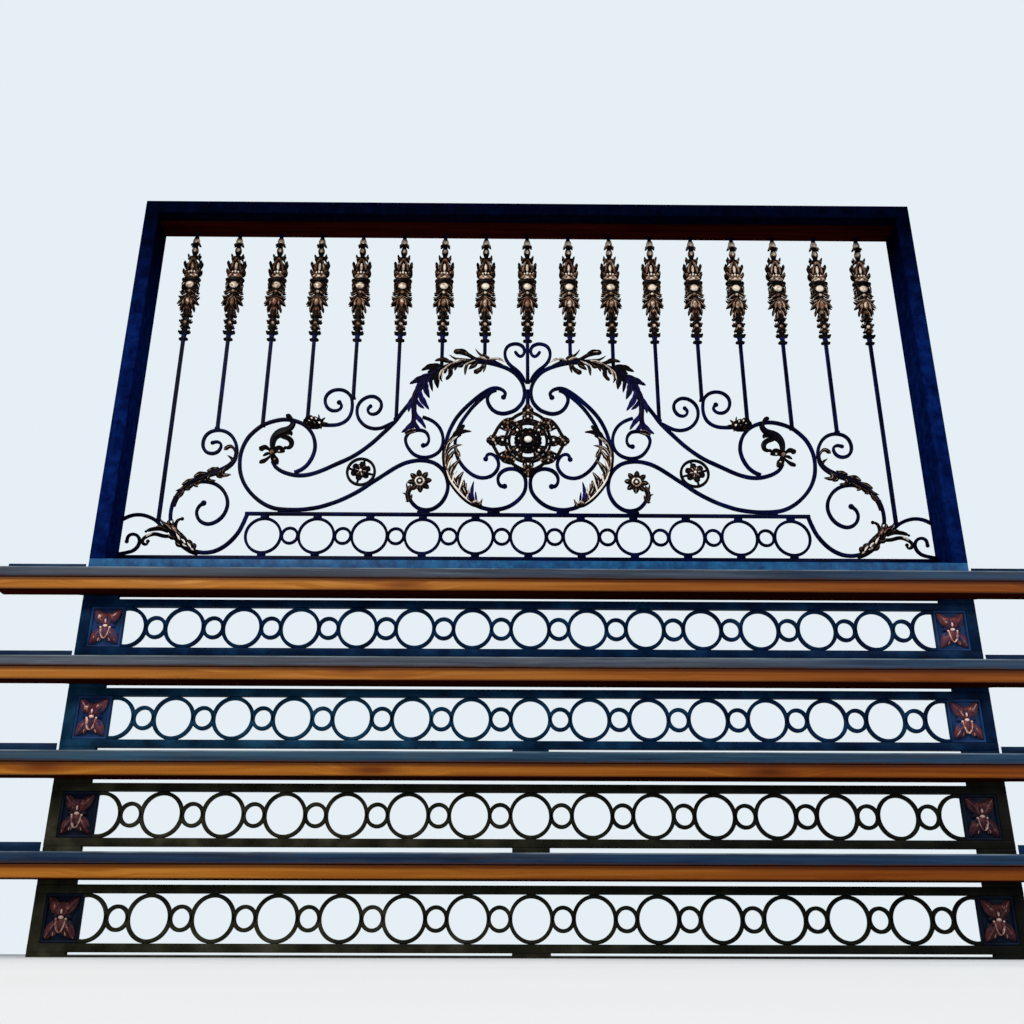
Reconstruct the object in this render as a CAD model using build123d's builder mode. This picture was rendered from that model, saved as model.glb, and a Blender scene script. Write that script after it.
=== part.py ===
"""Window grille: a scrolled wrought-iron panel set back in a painted metal
surround, above four ring-frieze bands that stand between projecting ledges.

Frame: millimetres, +X to the right seen from the street, +Y into the wall,
+Z up.  The origin is on the underside of the flat strip below the lowest band, at
mid width and mid depth.  The street face of the surround and bands is at Y = -12.
"""
import math
import os

from build123d import *

os.makedirs("parts", exist_ok=True)

# ---------------------------------------------------------------- dimensions
PITCH = 165.0            # spacing of the big rings, in the bands and the frieze
OPEN_W = 2580.0          # outer width of the surround and of the bands
LEDGE_W = 3040.0         # length of the ledges, past the opening at both ends
MODULE = 251.0           # vertical spacing of the bands
LEDGE_T = 70.0           # a ledge with its gap to the spacing line, cap and timber together
CAP_T = 29.0             # painted cap of a ledge
CAP_DROP = 6.0           # the caps end this far below the spacing lines
LEDGE_OUT = 75.0         # how far a ledge stands out in front of the bands
LEDGE_BACK = 24.0        # how far a ledge runs back inside the opening
FLANGE_H, FLANGE_T = 27.0, 3.0  # upturned edge of a cap against the wall, past the opening
GAP_H = MODULE - LEDGE_T  # clear height between two ledges

FACE = -12.0             # street face of the surround and of the bands
RAIL = 21.0              # band frame rail, square tube
STILE = 30.0
BAND_D = 24.0            # band frame depth
BAND_OPEN = 117.0        # clear height inside a band frame
BAND_H = BAND_OPEN + 2 * RAIL
BIG_R, SMALL_R = 59.0, 32.5
RING_W = 9.8             # radial thickness of a ring
RING_D = 16.0            # depth of a ring
PLAQUE_X = 7 * PITCH + 10  # inner edge of the plaques, where the last rings are cut

SUR_Z0 = 4 * MODULE - CAP_DROP  # underside of the surround, on the top ledge
SUR_H = 1288.0
SUR_T = 14.0             # thickness of the lining at the head
JAMB_T = 20.0            # thickness of the lining at the jambs
SUR_D = 200.0            # depth of the lining
LIP_W = 45.0             # front lip of the surround
LIP_D = 12.0
SILL_T = 45.0

PANEL_Y = FACE + 181.5   # mid plane of the scrolled panel
BAR = 12.0               # square bar of the panel
BAR_X = [0.0, 143.0, 286.0, 429.0, 573.0, 717.0, 861.0, 1006.0, 1156.0]
PY0 = PANEL_Y - BAR / 2
SX = 1.313               # trace units to millimetres, sideways
SZ = 1.3                 # trace units to millimetres, upwards
CX, CZ = 999.0, 2309.0   # trace origin: mid line, and height of row 0
SOFFIT = SUR_Z0 + SUR_H - SUR_T
BOARD_T = 6.0            # dark board on the back half of the soffit

FRIEZE_TOP = 1237.0      # underside of the frieze's top bar
FRIEZE_BAR = 11.0
RAIL_TOP = 1106.5        # top of the panel's bottom rail
RAIL_H = 30.0
FRING_R, FRING_S = 59.0, 28.5
FRING_W = 8.5            # radial thickness of the frieze rings
STRIP_T = 5.0            # flat strip under the feet of the lowest band


def mm(p):
    """Trace point (column, row) to (x, z)."""
    return ((p[0] - CX) * SX, CZ - SZ * p[1])


def smooth(pts, step=9.0):
    """Even points along a centripetal curve through pts."""
    P = [pts[0]] + list(pts) + [pts[-1]]
    out = []
    for i in range(1, len(P) - 2):
        p0, p1, p2, p3 = P[i - 1], P[i], P[i + 1], P[i + 2]
        for k in range(12):
            t = k / 12.0
            c = []
            for a in (0, 1):
                m1 = (p2[a] - p0[a]) / 2.0
                m2 = (p3[a] - p1[a]) / 2.0
                c.append((2 * t**3 - 3 * t**2 + 1) * p1[a] + (t**3 - 2 * t**2 + t) * m1
                         + (-2 * t**3 + 3 * t**2) * p2[a] + (t**3 - t**2) * m2)
            out.append(tuple(c))
    out.append(tuple(P[-2]))
    d = [0.0]
    for a, b in zip(out, out[1:]):
        d.append(d[-1] + math.dist(a, b))
    n = max(2, int(round(d[-1] / step)))
    res, j = [], 0
    for k in range(n + 1):
        s = d[-1] * k / n
        while j < len(d) - 2 and d[j + 1] < s:
            j += 1
        f = (s - d[j]) / max(1e-9, d[j + 1] - d[j])
        res.append((out[j][0] + (out[j + 1][0] - out[j][0]) * f,
                    out[j][1] + (out[j + 1][1] - out[j][1]) * f))
    return res


def ribbon(pts, w, step=9.0):
    """Closed outline of a bar of width w along the traced centre line."""
    c = smooth([mm(p) for p in pts], step)
    left, right = [], []
    for i, p in enumerate(c):
        a, b = c[max(0, i - 1)], c[min(len(c) - 1, i + 1)]
        L = math.dist(a, b)
        nx, nz = -(b[1] - a[1]) / L, (b[0] - a[0]) / L
        left.append((p[0] + nx * w / 2, p[1] + nz * w / 2))
        right.append((p[0] - nx * w / 2, p[1] - nz * w / 2))
    return left + right[::-1]


def flip(outline):
    return [(-x, z) for x, z in outline][::-1]


# ------------------------------------------------- centre lines, left half
HEART = [(969, 383), (974, 390), (981, 394), (988, 389), (991, 378), (987, 366), (977, 359.5), (967, 358),
         (955, 361), (946, 369), (941.6, 382), (942.4, 396), (948, 410), (958, 422), (970, 432), (980, 443),
         (987, 454), (992, 466)]
ARCH = [(920, 489), (908, 494), (900, 504), (898, 516), (901, 528), (908, 540), (918, 549), (930, 553.5),
        (942, 554), (956, 550), (968, 544), (978, 534), (986, 522), (990, 508), (991, 496), (989, 480),
        (983, 464), (974, 450), (962, 438), (946, 428), (928, 421), (908, 415), (886, 411), (862, 411),
        (838, 414), (814, 419), (792, 427), (772, 438), (754, 452), (738, 470), (724, 492), (712, 514),
        (700, 533), (686, 553), (672, 575), (656, 594), (640, 611), (620, 632), (600, 650), (580, 665.5),
        (560, 678), (540, 688), (520, 698), (500, 708), (480, 716), (460, 721), (440, 722), (420, 718.5),
        (400, 711), (385, 700), (376, 686)]
C_OUT = [(939, 508), (943, 499), (937, 490), (928, 485.5), (918, 484), (905, 487), (890, 496), (876, 507),
         (860, 522), (844, 538.5), (831, 554), (820, 570), (811, 588), (804, 606), (799, 626), (796, 646),
         (795, 666), (797, 686), (802, 706), (809, 724), (818, 741), (831, 759), (846, 775), (863, 789),
         (880, 799), (897, 804.5), (916, 807), (936, 804.5), (954, 798), (970, 787), (983, 773), (991, 758),
         (993.5, 742), (992, 726), (986, 714), (975, 705), (960, 701.5), (945, 704), (933, 712), (926.5, 724),
         (927, 737), (933, 746), (941, 747)]
C_IN = [(899, 499), (886, 511), (872, 525), (859, 540), (848, 556), (838, 572), (830, 588), (824, 604),
        (821, 621), (820, 638), (822, 655), (826, 671), (833, 685), (843, 699), (855, 711), (868, 720),
        (882, 725), (896, 725), (910, 720), (921, 709), (927, 695), (926, 681), (919, 669), (909, 663),
        (900, 665), (896, 675)]
FOOT_C = [(738, 565), (752, 570), (766, 578), (778, 590), (786, 605), (790, 622), (789, 640), (782, 656),
          (769, 667), (753, 672.5), (736, 672), (720, 665), (708, 652), (700, 637), (698, 622), (705, 609),
          (718, 602), (733, 600.5), (746, 605), (753.5, 616), (755, 629), (750, 639), (743, 641)]
BIG_S = [(432, 714.5), (446, 708), (459, 697), (468, 683), (474, 668), (477, 650), (475, 632), (469, 615),
         (459, 600), (446, 588), (430, 580), (412, 575), (396, 574), (380, 576), (360, 582), (342, 591),
         (326, 605), (312, 622), (302, 644), (297, 667), (297, 690), (301, 715), (311, 740), (326, 762),
         (346, 782), (368, 797), (390, 806), (412, 809), (436, 810), (460, 809), (480, 806.5), (500, 802.5),
         (520, 796), (540, 788.5), (560, 779), (580, 768), (600, 755), (620, 740), (640, 726), (660, 711.5),
         (680, 698), (700, 688), (720, 682.5), (740, 681), (760, 684), (776, 691), (789.5, 703), (799, 719),
         (804, 737), (805, 753), (801, 771), (792, 788), (780, 800), (766, 807.5), (750, 808.5), (735, 804),
         (723, 794), (715, 782), (711, 768), (713, 755)]
BRIDGE = [(529, 527), (535, 535), (531, 544.5), (522, 549), (510, 548), (500, 540.5), (494, 528), (493.5, 514),
          (499, 502.5), (510, 494), (524, 491), (537, 493), (548, 499.5), (556.5, 510), (560.5, 524), (561.5, 540),
          (559.5, 556), (553.5, 570), (542, 581), (527, 587), (510, 588.5), (492, 588), (474, 584.5)]
SADDLE = [(606, 537), (601, 544), (603, 553), (611, 558), (622, 556), (630, 548), (634, 536), (632, 524),
          (624, 514.5), (613, 509.5), (600, 510.5), (588, 517), (579, 527.5), (574.5, 541), (575, 557),
          (580, 571), (590, 584), (603, 593), (619, 597), (635, 595.5), (650, 589), (666, 580)]
SIDE_C = [(226, 637), (237, 635), (246, 641), (246, 652), (239, 662), (227, 666), (213, 662), (204, 650),
          (202, 634), (207, 618), (219, 607.5), (237, 604), (255, 608), (270, 619), (280, 634), (285.5, 650),
          (287, 666), (282, 684), (271, 699), (255, 711), (236, 720), (215, 728)]
CORNER_S = [(147, 838), (145.5, 822), (146, 806), (149, 790), (156, 773), (167, 758), (182, 747.5), (200, 741),
            (220, 739.5), (240, 744), (256, 753.5), (268, 767), (276, 783), (278.5, 800), (275, 817), (267, 831),
            (254, 842), (238, 847), (223, 843), (212, 832.5), (207, 817), (211, 803), (220, 795)]
RAIL_C = [(212, 914), (226, 917), (242, 917.5), (260, 914), (279, 904), (297, 887.5), (312, 866), (321, 844), (325.5, 830),
          (327.5, 823.5)]
CORNER_A = [(29, 839), (41, 832), (50, 828), (62, 825), (77, 825), (93, 829), (108, 836), (121, 846), (131, 858)]
JAMB_C = [(28, 923), (42, 921), (56, 918), (68, 914), (78, 904), (81, 890), (75, 878), (63, 873), (53, 878), (51, 890)]

SCROLLS = [("heart_scrolls", HEART, 10.5), ("arch_scrolls", ARCH, BAR), ("centre_c_scrolls", C_OUT, BAR),
           ("centre_inner_scrolls", C_IN, 11.0), ("arch_foot_scrolls", FOOT_C, 10.5), ("big_s_scrolls", BIG_S, BAR),
           ("bridge_scrolls", BRIDGE, 10.5), ("saddle_scrolls", SADDLE, 10.5), ("side_c_scrolls", SIDE_C, 10.5),
           ("corner_spirals", CORNER_S, 11.0), ("rail_scrolls", RAIL_C, BAR), ("corner_arcs", CORNER_A, 10.5),
           ("jamb_curls", JAMB_C, 10.0)]
BALLS = {"centre_c_scrolls": [(939, 511, 8.5), (941, 741, 8.5)], "centre_inner_scrolls": [(898, 681, 8.0)],
         "arch_foot_scrolls": [(740, 637, 8.5)], "bridge_scrolls": [(528, 525, 8.5)],
         "corner_spirals": [(224, 796, 8.5)]}

def at(y):
    """Sketch plane facing the street at depth y."""
    return Plane.XZ.offset(-y)


OUTLINES = {}
for label, line, width in SCROLLS:
    OUTLINES[label] = ribbon(line, width)


def write(part, label):
    part.label = label
    export_step(part, f"parts/{label}.step")


# ------------------------------------------------------- helper outlines
def box_of(o, grow=0.0):
    xs, zs = [p[0] for p in o], [p[1] for p in o]
    return min(xs) - grow, min(zs) - grow, max(xs) + grow, max(zs) + grow


def meets(a, b):
    return a[0] < b[2] and b[0] < a[2] and a[1] < b[3] and b[1] < a[3]


SHAPES = {}              # label -> list of ("poly", outline) or ("disc", x, z, r), both sides
for label, line, width in SCROLLS:
    items = []
    for o in (OUTLINES[label], flip(OUTLINES[label])):
        items.append(("poly", o, box_of(o, 1)))
    for bx, bz, br in BALLS.get(label, []):
        x, z = mm((bx, bz))
        for xx in (x, -x):
            items.append(("disc", (xx, z, br), (xx - br - 1, z - br - 1, xx + br + 1, z + br + 1)))
    SHAPES[label] = items


def cut_shapes(labels, boxes):
    """Subtract the listed scrolls from the open sketch where they come near."""
    for name in labels:
        for kind, data, bb in SHAPES[name]:
            if not any(meets(bb, b) for b in boxes):
                continue
            if kind == "poly":
                with BuildLine() as edge_line:
                    Polyline(*data, close=True)
                make_face(edge_line.edges(), mode=Mode.SUBTRACT)
            else:
                with Locations((data[0], data[1])):
                    Circle(data[2], mode=Mode.SUBTRACT)


def both(trace):
    """Outline in millimetres of a traced shape and of its mirror image."""
    o = [mm(p) for p in trace]
    return o, flip(o)


# --------------------------------------------------------- scrolled panel
RAIL_BOX = (0.0, RAIL_TOP - RAIL_H / 2, OPEN_W - 2 * JAMB_T, RAIL_H)
FRIEZE_HALF = 888.0
done = []
for label, line, width in SCROLLS:
    boxes = [it[2] for it in SHAPES[label]]
    with BuildPart() as scroll:
        with BuildSketch(at(PY0)):
            for kind, data, bb in SHAPES[label]:
                if kind == "poly":
                    with BuildLine():
                        Polyline(*data, close=True)
                    make_face()
                else:
                    with Locations((data[0], data[1])):
                        Circle(data[2])
            cut_shapes(done, boxes)
            # nothing passes through the rails or the jambs
            with Locations((0, RAIL_TOP - 60)):
                Rectangle(OPEN_W, 120, mode=Mode.SUBTRACT)
            with Locations((0, FRIEZE_TOP + FRIEZE_BAR / 2)):
                Rectangle(2 * FRIEZE_HALF, FRIEZE_BAR, mode=Mode.SUBTRACT)
            with Locations((OPEN_W / 2 - JAMB_T + 50, 1200), (-(OPEN_W / 2 - JAMB_T + 50), 1200)):
                Rectangle(100, 400, mode=Mode.SUBTRACT)
        extrude(amount=-BAR)
    done.append(label)
    write(scroll.part, label)

# bottom rail, from jamb to jamb
with BuildPart() as bottom_rail:
    with BuildSketch(at(PY0)):
        with Locations((RAIL_BOX[0], RAIL_BOX[1])):
            Rectangle(RAIL_BOX[2], RAIL_BOX[3])
    extrude(amount=-BAR)
write(bottom_rail.part, "bottom_rail")

# flat bar over the frieze of rings
with BuildPart() as frieze_bar:
    with BuildSketch(at(PY0)):
        with Locations((0, FRIEZE_TOP + FRIEZE_BAR / 2)):
            Rectangle(2 * FRIEZE_HALF, FRIEZE_BAR)
    extrude(amount=-BAR)
write(frieze_bar.part, "frieze_bar")

# frieze: eleven big rings with small rings between, on short welded blocks
fz = (FRIEZE_TOP + RAIL_TOP) / 2
with BuildPart() as frieze_rings:
    with BuildSketch(at(PY0)):
        with Locations(*[(k * PITCH, fz) for k in range(-5, 6)]):
            Circle(FRING_R)
            Rectangle(26, FRIEZE_TOP - RAIL_TOP)
        with Locations(*[((k + 0.5) * PITCH, fz) for k in range(-5, 5)]):
            Circle(FRING_S)
        with Locations(*[(k * PITCH, fz) for k in range(-5, 6)]):
            Circle(FRING_R - FRING_W, mode=Mode.SUBTRACT)
        with Locations(*[((k + 0.5) * PITCH, fz) for k in range(-5, 5)]):
            Circle(FRING_S - FRING_W, mode=Mode.SUBTRACT)
        cut_shapes(["rail_scrolls"], [(-FRIEZE_HALF, RAIL_TOP, FRIEZE_HALF, FRIEZE_TOP)])
    extrude(amount=-BAR)
write(frieze_rings.part, "frieze_rings")

# seventeen square uprights, each ending on the scroll below it
LAND = [468, 402, 428, 572, 515, 575, 592, 600, 838]
uprights = []
for i, x in enumerate(BAR_X):
    z = CZ - SZ * LAND[i]
    for xx in ((x, -x) if x else (x,)):
        uprights.append((xx, z))
with BuildPart() as upright_bars:
    with BuildSketch(at(PY0)):
        for x, z in uprights:
            top = SOFFIT - BOARD_T
            with Locations((x, (top + z) / 2)):
                Rectangle(BAR, top - z)
        cut_shapes(done, [(x - BAR, z - 1, x + BAR, 1900) for x, z in uprights])
    extrude(amount=-BAR)
write(upright_bars.part, "upright_bars")

# flat cast leaf ornament clasping the head of every upright, the same on both faces
CAST_TOP, CAST_D = 2259.0, 30.0
SIL = [(7, 0), (9, 14), (12, 20), (12, 32), (15.5, 40), (9, 50), (12, 60), (9, 72), (22, 79), (21, 98), (14, 101),
       (21, 117), (33, 107), (34.5, 138), (27, 166), (24, 176), (33, 182), (33, 190), (23, 194), (24, 212), (31, 222),
       (22, 230), (13, 236), (34, 240), (35, 250), (20, 256), (36, 270), (36, 279), (24, 284), (24, 301), (12, 307),
       (17, 313), (17, 322), (12, 327), (18, 334), (18, 344), (12, 350), (14, 361), (10, 370), (18, 377), (9, 388),
       (9, 400), (16, 404), (15, 409.5)]
with BuildPart() as bar_castings:
    with BuildSketch(at(PANEL_Y - CAST_D / 2)):
        for x, z in uprights:
            with BuildLine():
                Polyline(*[(x + r, CAST_TOP - d) for r, d in SIL], *[(x - r, CAST_TOP - d) for r, d in SIL[::-1]], close=True)
            make_face()
    extrude(amount=-CAST_D)
    with Locations(*[(x, PANEL_Y, CAST_TOP - 200) for x, z in uprights]):
        Box(BAR, BAR, 900, mode=Mode.SUBTRACT)
write(bar_castings.part, "bar_castings")

# acanthus leaves and knots, laid on the street side of the scrolls
LEAF_T = 11.0
LEAVES = {
    "arch_leaves": [(932, 409), (900, 398), (880, 392), (868, 381), (860, 398), (824, 384), (804, 396), (780, 407),
                    (764, 413), (770, 422), (734, 442), (748, 452), (706, 480), (716, 494), (704, 520), (698, 536),
                    (709, 566), (712, 580), (690, 611), (700, 618), (720, 610), (748, 598), (728, 574), (730, 556),
                    (753, 550), (735, 526), (754, 518), (760, 498), (774, 490), (794, 466), (806, 444), (841, 452),
                    (848, 428), (878, 448), (892, 424), (932, 422)],
    "centre_leaves": [(840, 594), (859, 609), (845, 617), (826, 622), (823, 636), (838, 644), (828, 654), (836, 676),
                      (824, 692), (816, 712), (844, 718), (834, 738), (850, 740), (850, 768), (870, 742), (872, 776),
                      (890, 797), (880, 804), (862, 793), (845, 779), (828, 761), (811, 735), (801, 715), (794, 690),
                      (789, 664), (788, 640), (794, 625), (806, 611), (820, 600)],
    "side_leaves": [(260, 655), (270, 649), (281, 658), (288, 684), (282, 696), (266, 712), (281, 725), (264, 733),
                    (246, 741), (206, 756), (185, 762), (164, 780), (150, 808), (146, 790), (155, 766), (175, 742),
                    (200, 727), (226, 719), (250, 702), (270, 684), (268, 664)],
    "corner_leaves": [(130, 842), (147, 850), (155, 837), (162, 860), (176, 877), (196, 890), (213, 903), (215, 919),
                      (200, 921), (180, 912), (160, 893), (140, 881), (120, 875), (100, 880), (90, 890), (90, 875),
                      (105, 865), (124, 861), (136, 859)],
    "scroll_fleurons": [(408, 579), (418, 586), (408, 605), (404, 618), (413, 640), (414, 653), (404, 650), (398, 632),
                        (388, 628), (380, 640), (386, 654), (404, 661), (388, 670), (390, 690), (374, 686), (350, 696),
                        (360, 678), (346, 666), (350, 652), (366, 652), (368, 635), (374, 615), (388, 604), (400, 595)],
    "bridge_knots": [(440, 579), (452, 571), (466, 567), (478, 571), (498, 572), (492, 586), (490, 602), (478, 592),
                     (466, 595), (452, 590)],
}
for label, trace in LEAVES.items():
    with BuildPart() as leaf:
        with BuildSketch(at(PY0 - LEAF_T)):
            for o in both(trace):
                with BuildLine():
                    Polyline(*o, close=True)
                make_face()
        extrude(amount=-LEAF_T)
    write(leaf.part, label)

# middle rosette: an openwork casting laid on the street side of the scrolls
rx, rz = 0.0, CZ - SZ * 622
ROS_T = 12.0
ROS_EDGE = [(0, 118), (15, 109), (24, 107), (36, 105), (42, 104), (57, 92), (74, 97), (90, 103)]


def edge_r(deg):
    """Radius of the rosette's outer stem, the same in each quarter."""
    d = abs((deg + 90) % 180 - 90)
    for (a0, r0), (a1, r1) in zip(ROS_EDGE, ROS_EDGE[1:]):
        if d <= a1:
            return r0 + (r1 - r0) * (d - a0) / (a1 - a0)
    return ROS_EDGE[-1][1]


def edge_loop(grow):
    return [(rx + (edge_r(k * 3) + grow) * math.cos(math.radians(k * 3)),
             rz + (edge_r(k * 3) + grow) * math.sin(math.radians(k * 3))) for k in range(120)]


with BuildPart() as centre_rosette:
    with BuildSketch(at(PY0 - ROS_T)):
        with BuildLine():
            Polyline(*edge_loop(3.5), close=True)
        make_face()
        with BuildLine():
            Polyline(*edge_loop(-3.5), close=True)
        make_face(mode=Mode.SUBTRACT)
        with Locations((rx, rz)):
            with BuildSketch(mode=Mode.PRIVATE) as hoop:
                Circle(76)
                Circle(60, mode=Mode.SUBTRACT)
            add(hoop.sketch)
            Circle(43)
            with PolarLocations(62, 4, start_angle=45):
                Rectangle(60, 13)
            with PolarLocations(93, 4, start_angle=0):
                Rectangle(46, 11)
            with PolarLocations(112, 2, start_angle=0):
                Circle(15)
            with PolarLocations(103, 2, start_angle=90):
                Circle(15)
            with PolarLocations(88, 4, start_angle=42):
                Circle(16)
    extrude(amount=-ROS_T)
write(centre_rosette.part, "centre_rosette")

# eight-petalled rosettes at the inner ends of the big scrolls
with BuildPart() as scroll_rosettes:
    with BuildSketch(at(PY0 - 4)):
        sx, sz = mm((737, 738))
        for x in (sx, -sx):
            with Locations((x, sz)):
                Circle(27)
                with PolarLocations(28, 8):
                    Circle(10)
        cut_shapes(["big_s_scrolls"], [(-420, sz - 60, 420, sz + 60)])
    extrude(amount=-(BAR + 4))
write(scroll_rosettes.part, "scroll_rosettes")

# rings with a small flower, between the two long curves
with BuildPart() as flower_rings:
    with BuildSketch(at(PY0)):
        gx, gz = mm((593, 711.5))
        for x in (gx, -gx):
            with Locations((x, gz)):
                Circle(48)
                Circle(39.5, mode=Mode.SUBTRACT)
        for x, s in ((gx, 1), (-gx, -1)):
            with Locations((x, gz)):
                with PolarLocations(33, 4, start_angle=-15 if s > 0 else 15):
                    Rectangle(24, 7)
                Circle(27)
        cut_shapes(["big_s_scrolls", "arch_scrolls"], [(-640, gz - 60, 640, gz + 60)])
    extrude(amount=-BAR)
write(flower_rings.part, "flower_rings")

# ---------------------------------------------------------- metal surround
half = OPEN_W / 2
top = SUR_Z0 + SUR_H
with BuildPart() as surround_head:
    with BuildSketch(Plane.YZ.offset(-half)):
        with Locations((FACE + SUR_D / 2, top - SUR_T / 2)):
            Rectangle(SUR_D, SUR_T)
        with Locations((FACE + LIP_D / 2, top - LIP_W / 2)):
            Rectangle(LIP_D, LIP_W)
    extrude(amount=OPEN_W)
write(surround_head.part, "surround_head")

with BuildPart() as soffit_board:
    with Locations((0, FACE + (100 + SUR_D) / 2, SOFFIT - BOARD_T / 2)):
        Box(OPEN_W - 2 * JAMB_T, SUR_D - 100, BOARD_T)
write(soffit_board.part, "soffit_board")

with BuildPart() as surround_sill:
    with Locations((0, FACE + SUR_D / 2, SUR_Z0 + SILL_T / 2)):
        Box(OPEN_W, SUR_D, SILL_T)
write(surround_sill.part, "surround_sill")

ANCHOR_R, ANCHOR_Y, ANCHOR_Z = 5.5, FACE + 150.0, (1240.0, 2040.0)
for side, label in ((-1, "jamb_left"), (1, "jamb_right")):
    zb, zt = SUR_Z0 + SILL_T, SOFFIT
    with BuildPart() as jamb:
        with Locations((side * (half - JAMB_T / 2), FACE + SUR_D / 2, (zb + zt) / 2)):
            Box(JAMB_T, SUR_D, zt - zb)
        zl = top - LIP_W
        with Locations((side * (half - LIP_W / 2), FACE + LIP_D / 2, (zb + zl) / 2)):
            Box(LIP_W, LIP_D, zl - zb)
        with Locations((side * (half - JAMB_T / 2), FACE + LIP_D / 2, (zl + zt) / 2)):
            Box(JAMB_T, LIP_D, zt - zl, mode=Mode.SUBTRACT)
        with Locations(*[Location((side * half, ANCHOR_Y, z), (0, 90, 0)) for z in ANCHOR_Z]):
            Cylinder(ANCHOR_R, 4 * JAMB_T, mode=Mode.SUBTRACT)
    write(jamb.part, label)

# ------------------------------------------------------------ ring bands
PACK_H = (GAP_H - BAND_H) / 2
for n in range(4):
    label = f"ring_band_{4 - n}"
    zc = n * MODULE + GAP_H / 2
    with BuildPart() as band:
        with BuildSketch(at(FACE)):
            with Locations((0, zc)):
                Rectangle(OPEN_W, BAND_H)
                Rectangle(OPEN_W - 2 * STILE, BAND_OPEN, mode=Mode.SUBTRACT)
            foot = PACK_H + (CAP_DROP if n else 0)
            with Locations(*[(s * (half - 50), zc + (BAND_H + PACK_H) / 2) for s in (-1, 1)]):
                Rectangle(100, PACK_H)
            with Locations(*[(x, zc - (BAND_H + foot) / 2) for x in (-(half - 50), 0, half - 50)]):
                Rectangle(100, foot)
            if n == 0:
                with Locations((0, STRIP_T / 2)):
                    Rectangle(OPEN_W, STRIP_T)
        extrude(amount=-BAND_D)
        with BuildSketch(at(FACE + (BAND_D - RING_D) / 2)):
            with Locations(*[(k * PITCH, zc) for k in range(-7, 8)]):
                Circle(BIG_R)
            with Locations(*[((k + 0.5) * PITCH, zc) for k in range(-7, 7)]):
                Circle(SMALL_R)
            with Locations(*[(k * PITCH, zc) for k in range(-7, 8)]):
                Circle(BIG_R - RING_W, mode=Mode.SUBTRACT)
            with Locations(*[((k + 0.5) * PITCH, zc) for k in range(-7, 7)]):
                Circle(SMALL_R - RING_W, mode=Mode.SUBTRACT)
            with Locations((half, zc), (-half, zc)):
                Rectangle(2 * (half - PLAQUE_X), BAND_OPEN, mode=Mode.SUBTRACT)
        extrude(amount=-RING_D)
    write(band.part, label)

# square cast plaques with a four-leaf cross, one at each end of every band
pw = half - STILE - PLAQUE_X
px = PLAQUE_X + pw / 2
plaque_at = [(s * px, n * MODULE + GAP_H / 2) for n in range(4) for s in (-1, 1)]
with BuildPart() as cross_plaques:
    with BuildSketch(at(FACE + 8)):
        with Locations(*plaque_at):
            Rectangle(pw, BAND_OPEN)
    extrude(amount=-14)
    with BuildSketch(at(FACE + 2)):
        with Locations(*plaque_at):
            Rectangle(pw, BAND_OPEN)
            Rectangle(pw - 14, BAND_OPEN - 14, mode=Mode.SUBTRACT)
    extrude(amount=-6)
    with BuildSketch(at(FACE - 2)):
        with Locations(*plaque_at):
            Circle(15)
            with PolarLocations(28, 4, start_angle=45):
                Ellipse(22, 11)
    extrude(amount=-10)
write(cross_plaques.part, "cross_plaques")

# ---------------------------------------------------------------- ledges
for n in range(4):
    zt = (n + 1) * MODULE
    for label, z0, h, inset in ((f"ledge_cap_{4 - n}", zt - CAP_DROP - CAP_T, CAP_T, 0.0),
                                (f"ledge_timber_{4 - n}", zt - LEDGE_T, LEDGE_T - CAP_DROP - CAP_T, 3.0)):
        out = LEDGE_OUT - inset
        with BuildPart() as ledge:
            with Locations((0, FACE - out / 2, z0 + h / 2)):
                Box(LEDGE_W, out, h)
            with Locations((0, FACE + LEDGE_BACK / 2, z0 + h / 2)):
                Box(OPEN_W, LEDGE_BACK, h)
            if inset == 0:
                length = LEDGE_W / 2 - half - 5
                with Locations(*[(s * (half + 5 + length / 2), FACE - FLANGE_T / 2, z0 + h + FLANGE_H / 2) for s in (-1, 1)]):
                    Box(length, FLANGE_T, FLANGE_H)
        write(ledge.part, label)
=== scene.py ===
import math

import bpy
import bmesh
import numpy as np
from mathutils import Matrix, Vector


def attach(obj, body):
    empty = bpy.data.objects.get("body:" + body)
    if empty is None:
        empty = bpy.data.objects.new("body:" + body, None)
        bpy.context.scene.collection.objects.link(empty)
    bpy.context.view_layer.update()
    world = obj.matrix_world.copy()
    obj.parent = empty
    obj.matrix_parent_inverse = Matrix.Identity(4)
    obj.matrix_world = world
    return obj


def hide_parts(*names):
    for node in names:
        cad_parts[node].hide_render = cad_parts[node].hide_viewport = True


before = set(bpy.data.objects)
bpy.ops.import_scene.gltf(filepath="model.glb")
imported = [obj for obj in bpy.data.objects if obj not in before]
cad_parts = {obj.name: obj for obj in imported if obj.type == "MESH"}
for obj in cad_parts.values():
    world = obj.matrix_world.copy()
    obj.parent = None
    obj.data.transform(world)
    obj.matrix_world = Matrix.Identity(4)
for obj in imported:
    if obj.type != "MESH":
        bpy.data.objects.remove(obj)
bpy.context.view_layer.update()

rng = np.random.RandomState(7)

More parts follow.
